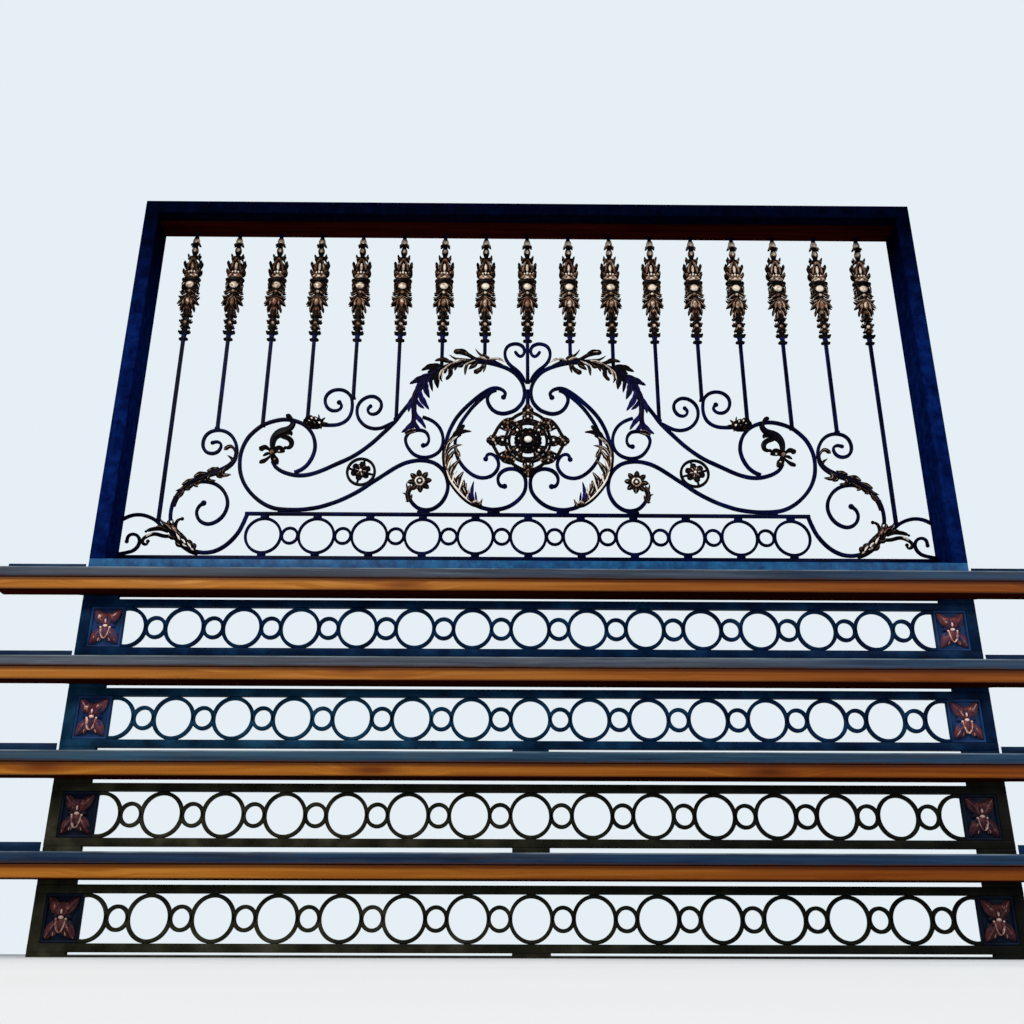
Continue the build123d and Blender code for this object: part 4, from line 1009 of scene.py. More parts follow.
def cast_leaf(b, pts, w, kind="spear", y=(5.0, 9.0), n=8, m=4, **kw):
    q = resample([(a, -c) for a, c in pts], n=n)
    t_ = np.linspace(0, 1, n)
    P = np.stack([q[:, 0], -np.interp(t_, np.linspace(0, 1, len(y)), y), q[:, 1]], 1)
    blade(b, P, (0.0, -1.0, 0.0), widths([(a, c * w) for a, c in SHAPES_W[kind]], n), m=m, **kw)


# body profile: (radius, drop, attribute value); the highest values carry painted highlights
BODY = [(7.0, 8, .2), (9, 13, .55), (11.5, 19, .9), (12.2, 25, 1.0), (10.5, 31, .8), (8, 35, .1), (7.6, 45, .1), (9, 50, .4),
        (11.3, 56, .7), (11.8, 64, .75), (9.5, 72, .45), (7.6, 77, .1), (8, 92, .1), (9, 100, .15), (11, 112, .1), (13, 125, .0),
        (15, 140, .0), (17, 152, .1), (19, 158, .3), (17, 162, .1), (21, 166, .75), (23, 168, .8), (21, 171, .3), (31, 173, .0),
        (33, 177, .1), (31, 182, .0), (21, 184, .0), (21, 192, .15), (22, 202, .35), (21.5, 212, .3), (18, 222, .1), (12, 231, .0),
        (10, 238, .1), (14, 246, .35), (17, 254, .35), (18, 264, .45), (17, 274, .45), (15, 284, .3), (12.5, 294, .2), (10.5, 302, .1),
        (10.5, 314, .1), (9.5, 326, .0), (10, 336, .1), (12, 346, .3), (11.5, 357, .2), (9.8, 366, .1), (9, 373, .1), (14.5, 376.5, .1),
        (16.2, 380, .1), (12, 384, .0), (8.5, 390, -.5), (7.8, 400, -.6), (14.3, 402.5, -.1), (16, 405.3, .1), (14.3, 408.6, .0), (7, 409.4, .0)]
one = Build()
round_body = Build()
lathe(round_body, [(r, -d) for r, d, _ in BODY], 0, 0, "z", 20, [u for _, _, u in BODY])
one.place(round_body, flat)
face = Build()
for pts, w, kind, y, base, gain in (
        ([(5, 34), (10, 35), (16.5, 43)], 4.2, "spear", (5, 8), .35, .6),
        ([(6, 90), (14, 91), (19, 86), (21, 76)], 4.8, "spear", (5, 9), .1, .7),
        ([(6, 86), (13, 88), (18, 94), (21, 102)], 4.6, "spear", (5, 9), .15, .7),
        ([(0, 93), (7, 101), (13, 114), (17, 130), (18, 142)], 4.4, "strap", (9, 11, 11, 10), .50, .35),
        ([(13, 141), (22, 139), (28, 127), (33.5, 105)], 6.4, "club", (6, 10, 9), .0, .7),
        ([(10, 146), (14, 134), (20, 122), (21, 112)], 4.6, "spear", (7, 10), .1, .7),
        ([(12, 154), (22, 157), (30, 150), (35, 135)], 7.2, "spear", (7, 11, 9), .05, .75),
        ([(14, 150), (22, 150), (26, 144)], 4.6, "club", (9, 12), .35, .6),
        ([(2, 160), (12, 158), (20, 163), (27, 167)], 5.2, "strap", (11, 12, 9), .42, .5),
        ([(6, 163), (15, 163), (22, 167)], 4.2, "club", (12, 12), .55, .4),
        ([(22, 184), (30, 190), (33, 198), (30, 204)], 4.2, "thorn", (7, 8, 7), .1, .8),
        ([(18, 190), (25, 200), (28, 211), (25, 220)], 4.6, "spear", (7, 9, 7), .1, .8),
        ([(14, 216), (22, 222), (28, 228), (35, 226)], 5.2, "spear", (8, 9, 7), .05, .85),
        ([(8, 224), (14, 230), (20, 234), (26, 233)], 4.2, "spear", (9, 10, 9), .3, .7),
        ([(4, 240), (14, 247), (25, 249), (36, 242)], 5.6, "spear", (8, 11, 10, 7), .1, .85),
        ([(8, 250), (17, 257), (27, 266), (37, 275)], 6.0, "spear", (9, 12, 10, 7), .1, .85),
        ([(6, 262), (13, 273), (19, 287), (23, 302)], 5.6, "spear", (10, 12, 10, 7), .1, .85),
        ([(3, 248), (10, 256), (14, 266), (14, 278)], 4.4, "club", (14, 16, 15, 13), .45, .55),
        ([(2, 282), (8, 292), (11, 302), (10, 311)], 4.4, "spear", (9, 10, 8), .2, .75),
        ([(6, 308), (12, 316), (16, 317), (19, 311)], 4.6, "spear", (7, 9, 7), .1, .8),
        ([(6, 330), (12, 338), (17, 340), (20.5, 333)], 4.8, "spear", (7, 9, 7), .1, .8),
        ([(5, 348), (10, 358), (14, 362), (16, 357)], 4.4, "spear", (8, 9, 7), .2, .75),
        ([(7, 380), (13, 381), (20, 375)], 5.0, "spear", (5, 7), .0, .45)):
    cast_leaf(face, pts, w, kind, y, th=6.0, dome=0.42, rib=1.4, base=base, gain=gain, n=9 if len(pts) > 4 else 8)
half = Build()
half.place(face, lambda V: V)
half.place(face, lambda V: V * np.array([-1.0, 1.0, 1.0]), True)
# bosses, buds and pearls; their high values give painted highlights
for x, d, rx, rz, ry, y, ru in ((0, 202, 16.0, 12.0, 6.5, 13.5, 0.90), (0, 126, 5.6, 15, 5, 9, .9), (0, 266, 7.5, 15, 6, 12.5, .72), (0, 61, 5.5, 8, 4, 7.5, .95),
                              (0, 149, 4.6, 4.6, 4, 12, 1.0), (11, 150, 3.4, 3.6, 3.4, 11, 1.0), (-11, 150, 3.4, 3.6, 3.4, 11, 1.0),
                              (0, 165, 7, 4, 4, 13, .9), (0, 225, 6, 5, 4, 11, .75), (0, 243, 6.0, 5.5, 4, 10, .6), (0, 292, 5, 6, 4, 9, .6), (0, 346, 6, 6, 4, 8.5, .8),
                              (0, 320, 4.5, 6, 4, 7.5, .4), (0, 364, 4.5, 5, 4, 7.5, .5), (0, 25, 6, 7, 4, 7.5, 1.1), (16, 199, 3, 3, 3, 13, .7), (-16, 199, 3, 3, 3, 13, .7)):
    blob(half, x, -y, -d, rx, ry, rz, ru, 12, 7)
def slim(V, s):
    k = np.interp(-V[:, 2], [70, 100, 195, 235], [1.0, 0.88, 0.86, 1.0])
    return np.stack([V[:, 0] * k, V[:, 1] * s, V[:, 2]], 1)


one.place(half, lambda V: slim(V, 1.0))
one.place(half, lambda V: slim(V, -1.0), True)
thirds = [Build(), Build(), Build()]
for i, (x, z) in enumerate(uprights):
    turn = 0.06 * math.sin(i * 2.3)
    ct, st = math.cos(turn), math.sin(turn)
    shade = 0.10 * math.sin(i * 3.1)
    h = thirds[i % 3]
    h.place(one, lambda V, x=x, ct=ct, st=st: np.stack([V[:, 0] * ct - V[:, 1] * st + x, V[:, 0] * st + V[:, 1] * ct + PY, V[:, 2] + CAST_TOP], 1))
    h.R[-1] = np.clip(h.R[-1] + shade, -0.6, 1.1)
for i, b in enumerate(thirds):
    b.make(f"bar_castings_{i + 1}", casting_top, "rubbed_casting", ["bar_castings"])

# -------------------------------------------------------------- arch leaves
b = Build()
sheath(b, [(936, 423), (920, 416), (905, 411), (890, 409), (872, 409), (852, 411), (832, 415), (812, 420), (792, 428), (774, 438), (757, 451),
           (742, 467), (728, 487), (719, 506), (715, 526), (716, 548), (717, 570), (714, 590), (709, 604)],
       [4.5, 7, 8, 8.5, 7.5, 7, 7, 7.5, 8, 8.5, 8.5, 9, 10.5, 10.5, 9.5, 8.5, 8, 7.5, 7],
       ry=[4.5, 8, 9, 9.5, 9.5, 9.5, 9.5, 9.5, 9.5, 9.5, 9.5, 10, 10.5, 10.5, 10, 9, 8.5, 8, 7], y=[6, 6, 7, 7, 7, 7, 7, 7, 7, 7, 7, 7, 7, 7, 8, 9, 9, 9, 8],
       ribs=9, amp=0.10, rub_lo=-0.25, rub_hi=0.45, twist=0.35)
A = [  # points, half width, shape, lift, lobes
    ([(905, 413), (918, 406), (928, 405), (937, 410)], 4.0, "thorn", (12, 14), 0),
    ([(898, 408), (886, 400), (874, 390), (866, 379)], 5.0, "thorn", (12, 18), 0),
    ([(900, 405), (893, 398), (884, 392)], 4.5, "thorn", (12, 15), 0),
    ([(878, 408), (862, 404), (848, 396), (832, 388), (811, 389)], 9.5, "club", (14, 20), 3),
    ([(850, 412), (834, 410), (816, 407), (800, 397)], 5.5, "thorn", (14, 18), 0),
    ([(812, 418), (798, 414), (782, 409), (764, 414)], 7.0, "spear", (13, 18), 2),
    ([(788, 430), (770, 427), (752, 430), (731, 442)], 8.5, "spear", (13, 19), 3),
    ([(776, 438), (760, 440), (746, 447)], 6.0, "spear", (13, 16), 0),
    ([(762, 450), (744, 456), (726, 466), (703, 480)], 9.0, "spear", (13, 20), 3),
    ([(744, 468), (730, 478), (718, 494)], 8.0, "spear", (12, 15), 2),
    ([(896, 414), (892, 424), (890, 434), (887, 446)], 3.5, "spear", (13, 17), 0),
    ([(886, 416), (884, 428), (878, 438), (864, 448)], 8.0, "club", (13, 20), 2),
    ([(872, 414), (866, 424), (858, 430), (850, 437)], 6.0, "spear", (14, 18), 0),
    ([(852, 415), (844, 428), (842, 438), (841, 454)], 4.2, "spear", (13, 17), 0),
    ([(838, 418), (830, 426), (822, 430)], 6.5, "spear", (14, 17), 0),
    ([(824, 420), (818, 430), (815, 441)], 4.0, "spear", (13, 16), 0),
    ([(814, 422), (809, 432), (806, 442)], 4.0, "spear", (13, 16), 0),
    ([(804, 424), (804, 438), (804, 452), (794, 467)], 6.2, "strap", (14, 19), 2),
    ([(798, 428), (792, 438), (786, 448)], 7.5, "club", (15, 18), 2),
    ([(788, 430), (781, 446), (779, 460), (785, 474)], 3.6, "spear", (15, 18), 0),
    ([(784, 432), (774, 446), (770, 464), (774, 492)], 8.5, "spear", (15, 20), 4),
    ([(768, 440), (762, 452), (760, 469)], 5.5, "spear", (13, 16), 0),
    ([(762, 448), (755, 464), (757, 482), (761, 500)], 5.0, "spear", (13, 17), 0),
    ([(752, 454), (743, 472), (744, 494), (754, 519)], 8.5, "spear", (14, 20), 4),
    ([(734, 480), (728, 500), (736, 522), (754, 550)], 8.0, "spear", (13, 18), 3),
    ([(722, 520), (728, 534), (742, 546)], 5.0, "spear", (13, 15), 0),
    ([(714, 512), (706, 530), (703, 556)], 6.0, "spear", (14, 15), 0),
    ([(717, 548), (724, 566), (736, 582), (748, 601)], 6.5, "spear", (13, 16), 2),
    ([(716, 572), (711, 588), (702, 600), (688, 612)], 6.5, "spear", (12, 17), 2),
    ([(717, 576), (722, 592), (734, 602)], 6.0, "spear", (12, 14), 0),
]
for i, (pts, w, kind, lift, lob) in enumerate(A):
    # brown and gold at the root, black in the middle, navy below as a painted blue reflection
    low = np.clip((mm(pts[0])[1] - 1700.0) / 70.0, 0, 1)
    mid = np.clip((mm(pts[0])[1] - 1750.0) / 30.0, 0, 1)
    base = -0.42 + 0.40 * low + 0.02 * mid
    leaflet(b, pts, w * 1.32, kind, lift, n=18 if lob else 12, th=7.0, dome=0.36, rib=1.8, lobes=lob, base=base, gain=0.30 + 0.52 * low, m=8)
# pale strands over the root and down the middle, carrying painted highlights
for pts, w, y in (([(899, 410), (915, 405), (930, 409), (946, 418)], 3.4, (16, 14)), ([(842, 411), (822, 415), (806, 424)], 5.0, (21, 21)),
                  ([(812, 420), (794, 432), (786, 448), (784, 466)], 3.2, (22, 22)), ([(796, 430), (780, 446), (776, 468)], 2.6, (22, 21)),
                  ([(866, 412), (850, 420), (836, 428)], 3.0, (20, 19)), ([(896, 410), (884, 404), (872, 404)], 4.4, (18, 20))):
    leaflet(b, pts, w, "spear", y, n=10, th=4.0, dome=0.5, rib=0.6, base=0.55, gain=0.5, m=6)
# clasp at the leaf's foot
sheath(b, [(697, 612), (704, 607), (712, 604), (722, 603)], [5, 8.5, 9, 6], ry=[6, 9, 9, 7], y=[5, 6, 6, 5], ribs=5, amp=0.12)
b.mirror().make("arch_leaves", casting, "rubbed_casting", ["arch_leaves"])

# ------------------------------------------------------------ centre leaves
b = Build()
sheath(b, [(888, 800), (872, 795), (856, 785), (840, 771), (824, 752), (811, 732), (802, 711), (797, 690), (795, 668), (796, 648)],
       [5, 10, 10.5, 10, 10, 9.5, 9, 8, 8, 7], ry=[7, 10, 11, 11, 11, 10, 10, 9, 9, 8], y=[5, 7, 7, 7, 7, 7, 7, 7, 6, 6],
       ribs=5, amp=0.13, rub_lo=-0.1, rub_hi=0.5, twist=0.2)
Cc = [
    ([(872, 793), (865, 776), (864, 758), (868, 739)], 8.5, "spear", (12, 18), 3),
    ([(877, 796), (874, 782), (872, 764)], 5.0, "spear", (12, 16), 0),
    ([(866, 788), (859, 774), (855, 757)], 4.6, "spear", (12, 16), 0),
    ([(882, 798), (886, 790), (889, 782)], 4.0, "thorn", (10, 13), 0),
    ([(858, 785), (848, 768), (842, 752), (845, 735)], 7.5, "spear", (13, 18), 3),
    ([(850, 778), (846, 762), (850, 742)], 4.6, "spear", (12, 15), 0),
    ([(842, 770), (830, 750), (831, 732), (843, 714)], 7.5, "spear", (13, 18), 3),
    ([(834, 760), (824, 744), (817, 730), (818, 716)], 5.5, "spear", (13, 17), 0),
    ([(824, 746), (812, 730), (812, 712), (822, 695), (835, 681)], 7.0, "spear", (13, 17), 3),
    ([(812, 726), (805, 710), (806, 694), (813, 682)], 5.5, "spear", (13, 16), 0),
    ([(803, 704), (804, 686), (812, 670), (822, 656)], 6.5, "spear", (13, 16), 2),
    ([(798, 684), (801, 666), (810, 652), (824, 645), (839, 643)], 4.6, "spear", (11, 15), 0),
    ([(797, 662), (801, 644), (810, 630), (822, 618)], 5.5, "strap", (10, 13), 0),
    ([(803, 640), (812, 626), (824, 612), (834, 600), (843, 592)], 12.5, "fan", (12, 20), 4),
    ([(812, 628), (826, 616), (840, 608), (860, 609)], 9.0, "spear", (12, 20), 3),
    ([(812, 630), (824, 622), (836, 617)], 6.5, "spear", (11, 16), 2),
    ([(822, 650), (826, 662), (834, 674)], 5.5, "spear", (10, 13), 0),
]
for i, (pts, w, kind, lift, lob) in enumerate(Cc):
    # the three leaflets at the foot take the navy painted reflection; the rest carry painted highlights on their ribs
    base, gain, k = (-0.42, 0.10, 0.72) if i in (0, 1, 2) else (0.02, 0.50, 0.86) if i in (13, 14, 15) else (-0.04, 1.22, 1.38)
    leaflet(b, pts, w * k, kind, lift, n=18 if lob else 12, th=6.0, dome=0.34, rib=1.6, lobes=lob, base=base, gain=gain, m=8)
# pale strands along the stem, carrying painted highlights
for pts, w, ru in (([(797, 660), (798, 692), (804, 714)], 2.6, 0.62), ([(802, 712), (812, 738), (830, 763), (848, 783), (864, 796)], 3.2, 0.95),
                   ([(804, 707), (808, 693), (814, 679)], 3.0, 0.9), ([(816, 742), (820, 726), (828, 712)], 2.8, 0.85),
                   ([(832, 766), (836, 750), (842, 736)], 2.8, 0.85), ([(850, 784), (856, 768), (858, 752)], 2.6, 0.75),
                   ([(866, 794), (874, 790), (882, 796)], 4.2, 0.62), ([(808, 640), (816, 630), (826, 622)], 2.6, 0.7)):
    leaflet(b, pts, w, "spear", (19, 21), n=10, th=4.0, dome=0.5, rib=0.4, base=ru, gain=0.2, m=6)
b.mirror().make("centre_leaves", casting, "rubbed_casting", ["centre_leaves"])

# -------------------------------------------------------------- side leaves
b = Build()
sheath(b, [(287, 664), (285, 682), (276, 697), (262, 708), (244, 717), (224, 724), (206, 733), (190, 742), (175, 754), (163, 769), (155, 786), (151, 804)],
       [6, 7, 7.5, 8, 8.5, 8.5, 8.5, 8.5, 8, 7.5, 7, 6], ry=[8, 9, 10, 11, 11, 11, 11, 11, 10, 9, 8, 7], y=[5, 6, 7, 7, 7, 7, 7, 7, 7, 6, 6, 5],
       ribs=8, amp=0.12, rub_lo=-0.2, rub_hi=0.5, twist=0.4)
Sd = [
    ([(286, 668), (280, 655), (270, 650), (258, 660)], 6.5, "club", (9, 15), 0),
    ([(283, 688), (276, 680), (267, 674)], 5.0, "thorn", (11, 14), 0),
    ([(272, 700), (262, 712), (262, 726), (282, 725)], 6.5, "spear", (12, 17), 0),
    ([(266, 704), (256, 716), (250, 728), (262, 733)], 6.5, "spear", (12, 16), 2),
    ([(232, 722), (226, 734), (232, 741), (246, 740)], 6.5, "spear", (12, 15), 2),
    ([(250, 708), (236, 712), (222, 716)], 7.5, "spear", (13, 16), 2),
    ([(222, 722), (206, 724), (192, 732)], 8.0, "spear", (13, 16), 2),
    ([(215, 734), (206, 744), (196, 750), (206, 757)], 6.5, "spear", (12, 15), 2),
    ([(198, 744), (188, 754), (178, 762), (188, 764)], 6.0, "spear", (12, 15), 2),
    ([(196, 736), (182, 742), (166, 752)], 7.0, "spear", (13, 16), 2),
    ([(180, 750), (168, 760), (153, 768)], 6.0, "thorn", (12, 15), 0),
    ([(170, 764), (160, 776), (149, 782)], 5.0, "thorn", (11, 14), 0),
    ([(172, 762), (168, 774), (160, 786)], 5.0, "spear", (11, 13), 0),
]
for pts, w, kind, lift, lob in Sd:
    leaflet(b, pts, w * 1.22, kind, lift, n=16 if lob else 12, th=7.0, dome=0.36, rib=1.8, lobes=lob, amp=0.12, base=0.08, gain=0.80, m=8)
b.mirror().make("side_leaves", casting, "rubbed_casting", ["side_leaves"])

# ------------------------------------------------------------ corner leaves
b = Build()
sheath(b, [(222, 921), (208, 914), (194, 903), (180, 889), (167, 876), (155, 864), (146, 856)],
       [6, 10, 13, 15, 14, 13, 9], ry=[6, 9, 11, 12, 12, 11, 9], y=[4, 6, 7, 7, 7, 7, 6], ribs=5, amp=0.16, rub_lo=-0.08, rub_hi=0.45, twist=0.5)
Cr = [
    ([(152, 862), (142, 854), (134, 848), (126, 841)], 6.5, "thorn", (13, 17), 0),
    ([(150, 866), (138, 862), (128, 858), (118, 858)], 6.5, "spear", (13, 16), 2),
    ([(154, 862), (148, 852), (146, 842)], 7.0, "spear", (14, 18), 2),
    ([(158, 868), (158, 854), (155, 838)], 4.5, "thorn", (13, 15), 0),
    ([(178, 886), (168, 872), (163, 856), (166, 842), (176, 836)], 4.6, "strap", (11, 12), 0),
    ([(148, 868), (130, 862), (112, 863), (96, 868)], 5.6, "strap", (11, 13), 0),
    ([(160, 880), (140, 880), (118, 875), (102, 879), (91, 888), (92, 898), (100, 901), (105, 894)], 4.8, "strap", (10, 12), 0),
    ([(196, 906), (186, 900), (176, 890), (170, 880)], 7.5, "spear", (16, 19), 2),
    ([(206, 908), (204, 898), (196, 890)], 5.5, "spear", (14, 17), 0),
    ([(214, 912), (214, 904), (208, 898)], 5.0, "spear", (12, 15), 0),
    ([(190, 904), (178, 902), (168, 894)], 6.0, "spear", (13, 15), 0),
    ([(172, 884), (160, 884), (150, 878)], 6.0, "spear", (14, 16), 0),
    ([(184, 890), (180, 880), (172, 872)], 6.0, "spear", (16, 19), 0),
]
for pts, w, kind, lift, lob in Cr:
    arm = kind == "strap"
    leaflet(b, pts, w * (1.3 if arm else 1.35), kind, lift, n=26 if len(pts) > 6 else 16, th=6.5, dome=0.36, rib=1.6, lobes=lob,
            base=-0.05 if arm else 0.05, gain=0.55 if arm else 0.75, m=8)
# pale tongues down the body, and a pale tip on the long leaf: painted highlights
for pts, w, kind, ru in (([(156, 856), (162, 864), (170, 873)], 5.6, "spear", 0.55), ([(168, 874), (174, 883), (180, 892)], 3.4, "spear", 0.85),
                         ([(182, 890), (188, 893), (193, 900)], 2.8, "strap", 0.85), ([(185, 899), (192, 905), (198, 907)], 2.6, "spear", 0.80),
                         ([(197, 897), (203, 904), (208, 911)], 2.8, "spear", 0.80), ([(207, 910), (211, 914), (215, 917)], 2.4, "spear", 0.70),
                         ([(142, 853), (149, 858), (156, 866)], 3.0, "spear", 0.55), ([(112, 874), (105, 878), (99, 884)], 3.4, "spear", 0.80)):
    leaflet(b, pts, w, kind, (19, 22), n=10, th=4.0, dome=0.5, rib=0.4, base=ru, gain=0.2, m=6)
for tx, ty, r in ((103, 893, 6.0), (177, 837, 6.0), (95, 869, 4.0)):
    x, z = mm((tx, ty))
    blob(b, x, PY - 11, z, r, 5, r, 0.25)
b.mirror().make("corner_leaves", casting, "rubbed_casting", ["corner_leaves"])

# ---------------------------------------------------------- scroll fleurons
b = Build()
sheath(b, [(417, 577), (418, 588), (412, 598), (400, 606), (386, 613), (376, 624), (373, 638), (374, 652)],
       [7, 9, 11, 15, 15, 12, 9.5, 7.5], ry=[7, 8, 9, 10, 10, 9, 8, 7], y=[4, 4, 4, 4, 4, 4, 4, 4], ribs=6, amp=0.14, rub_lo=-0.1, rub_hi=0.42, twist=0.3)
Fl = [
    ([(418, 582), (414, 573), (406, 567), (401, 570)], 6.0, "club", (8, 13), 0),
    ([(400, 606), (408, 612), (416, 613), (418, 621)], 6.0, "spear", (9, 12), 0),
    ([(384, 616), (398, 622), (412, 628), (420, 638), (418, 650), (406, 654)], 6.8, "strap", (10, 12), 0),
    ([(375, 664), (386, 657), (394, 658), (406, 664)], 10.5, "spear", (9, 13), 0),
    ([(376, 668), (380, 680), (386, 688), (392, 697)], 9.0, "spear", (9, 12), 0),
    ([(372, 664), (364, 655), (354, 652), (344, 660)], 8.5, "club", (9, 14), 2),
    ([(372, 668), (363, 668), (353, 675)], 4.5, "spear", (9, 12), 0),
    ([(372, 672), (364, 680), (357, 686), (346, 693)], 5.6, "club", (9, 12), 0),
    ([(370, 676), (362, 684), (356, 694)], 4.0, "spear", (8, 11), 0),
]
for pts, w, kind, lift, lob in Fl:
    leaflet(b, pts, w * 1.3, kind, lift, n=20 if len(pts) > 5 else 14, th=6.5, dome=0.36, rib=1.5, lobes=lob, base=-0.08, gain=0.60, m=8)
x, z = mm((374, 663))
blob(b, x, PY - 12, z, 7, 6, 7, 0.6)
for tx, ty, r in ((406, 653, 6.0), (372, 655, 5.0), (392, 662, 4.2), (383, 684, 4.0)):
    x, z = mm((tx, ty))
    blob(b, x, PY - 12, z, r, 5, r, 0.75 if r < 5 else 0.2)
b.mirror().make("scroll_fleurons", casting, "rubbed_casting", ["scroll_fleurons"])

# ------------------------------------------------------------- bridge knots
b = Build()
cx_, cz_ = mm((468, 582))
for k in range(7):
    a = k / 7.0 * math.pi
    pts = []
    for j in range(25):
        t_ = -1 + 2 * j / 24.0
        rr = 18.0 * math.sqrt(max(0.0, 1 - t_**2 * 0.93))
        th_ = a * 2 + t_ * 1.9
        pts.append((cx_ + 30 * t_, PY - rr * 0.95 * math.sin(th_), cz_ - 3 * t_ + rr * math.cos(th_)))
    P = np.array(pts)
    T = unit(np.gradient(P, axis=0))
    A0 = unit(np.cross(T, (0.2, 1, 0.1)))
    B0 = np.cross(T, A0)
    aa = np.arange(8) * 2 * math.pi / 8
    V = (P[:, None] + 4.0 * (A0[:, None] * np.cos(aa)[None, :, None] + B0[:, None] * np.sin(aa)[None, :, None])).reshape(-1, 3)
    F = strip_faces(25, 8) + [tuple(range(8))[::-1], tuple(range(24 * 8, 25 * 8))]
    b.add(V, F, 0.35)
blob(b, cx_, PY, cz_, 25, 13, 13, 0.0)
for pts, w in (([(482, 584), (490, 578), (498, 571)], 4.5), ([(482, 585), (487, 592), (490, 603)], 4.5), ([(478, 578), (482, 570), (480, 562)], 3.0),
               ([(448, 572), (458, 569), (466, 567)], 6.0), ([(450, 592), (458, 596), (464, 597)], 4.0), ([(484, 585), (496, 587), (508, 588)], 5.5)):
    leaflet(b, pts, w, "spear", (8, 12), n=10, th=5, base=0.15, gain=0.5)
# pearls, their cream a painted highlight
for tx, ty in ((458, 582), (465, 574), (475, 576), (471, 587), (484, 586)):
    x, z = mm((tx, ty))
    blob(b, x, PY - 13, z, 4.6, 4, 4.2, 1.0, 10, 6)
b.mirror().make("bridge_knots", casting, "rubbed_casting", ["bridge_knots"])


# ------------------------------------------------------------------ flowers
def petal(b, cx, cz, a, r0, r1, w, y0, y1, kind="spear", n=10, **kw):
    t_ = np.linspace(0, 1, n)
    r = r0 + (r1 - r0) * t_
    P = np.stack([cx + r * math.cos(a), y0 + (y1 - y0) * t_**1.3, cz + r * math.sin(a)], 1)
    blade(b, P, (0, -1, 0), widths([(p, c * w) for p, c in SHAPES_W[kind]], n), **kw)


def torus(b, cx, cz, R, r, y, rub, n=40, sy=1.0):
    a = np.arange(n) * 2 * math.pi / n
    s = np.arange(8) * 2 * math.pi / 8
    sweep(b, np.stack([cx + R * np.cos(a), cz + R * np.sin(a)], 1), np.stack([r * np.cos(s), r * sy * np.sin(s)], 1), y, rub=rub, closed=True)


b = Build()
rz = CZ - SZ * 622 - 12.0
RY = PY - 12.0
ROS_EDGE = [(0, 118), (15, 109), (24, 107), (36, 105), (42, 104), (57, 92), (74, 97), (90, 103)]


def edge_r(deg):
    d = abs((deg + 90) % 180 - 90)
    return float(np.interp(d, [e[0] for e in ROS_EDGE], [e[1] for e in ROS_EDGE]))


def polar(r, deg):
    return r * math.cos(math.radians(deg)), rz + r * math.sin(math.radians(deg))


# pearl in a dark cup, its cream a painted highlight, sixteen rounded petals on a disc
blob(b, 0, RY - 15, rz, 13.0, 8, 11.0, 1.1, 28, 12)
lathe(b, [(9, 0), (9, -6), (11.5, -11), (6, -13)], 0, RY - 2, "y", 28, 0.0, 0, 0, rz)
torus(b, 0, rz, 21.5, 6.0, RY - 5, -0.05, 40, 0.8)
lathe(b, [(22, 1), (38, 2), (42.5, 0), (43, -3), (40, -6), (24, -6)], 0, RY + 4, "y", 48, 0.0, 16, 0.02, rz)
for k in range(16):
    a = 2 * math.pi * (k + 0.5) / 16
    petal(b, 0, rz, a, 26, 45.5, 7.4, RY - 4, RY - 3, "club", th=5, dome=0.55, rib=0.5, base=0.0, gain=0.42, n=8, m=6)
    x, z = polar(30.5, math.degrees(a))
    blob(b, x, RY - 6.5, z, 2.6, 2.6, 2.6, 0.62 if k % 2 else 0.4, 8, 5)
# diagonal arms with a pearl each
for k in range(4):
    g = 45 + 90 * k
    sweep(b, [polar(38, g), polar(50, g), polar(62, g)], rsec(15, 10, 4, 2), RY, rub=0.05)
    for h in (-20, -10, 10, 20):
        petal(b, 0, rz, math.radians(g + h), 40, 62, 6.8, RY - 3, RY - 2, "club", th=6, dome=0.4, rib=0.6, base=-0.02, gain=0.6, n=8, m=6)
    x, z = polar(49, g)
    blob(b, x, RY - 8, z, 4.2, 4.0, 4.2, 0.9, 12, 7)
    for s in (1, -1):
        x, z = polar(55, g + s * 13)
        blob(b, x, RY - 4, z, 4.2, 4.0, 4.2, 0.55, 10, 6)
# band of two thin lines tied at sixteen places
for R_, w_ in ((61.0, 9.5), (72.5, 9.0)):
    ring(b, 0, rz, R_ + w_ / 2, w_, 10, RY, 72, rub=0.08, er=2.0)
for g in [45 * k + s * h for k in range(8) for s, h in ((1, 9), (-1, 9))]:
    sweep(b, [polar(60, g), polar(68, g), polar(75, g)], rsec(10, 9, 3, 1), RY, rub=0.1)
for k in range(8):
    for s in (1, -1):
        x, z = polar(67.5, 45 * k + s * 13.5)
        blob(b, x, RY - 5.5, z, 3.8, 3.6, 3.8, 0.66 if k % 2 else 0.5, 10, 6)
# outer stem
loop = [polar(edge_r(3 * k), 3 * k) for k in range(120)]
sweep(b, loop, rsec(11, 10, 3.4, 2), RY, rub=-0.02, closed=True)
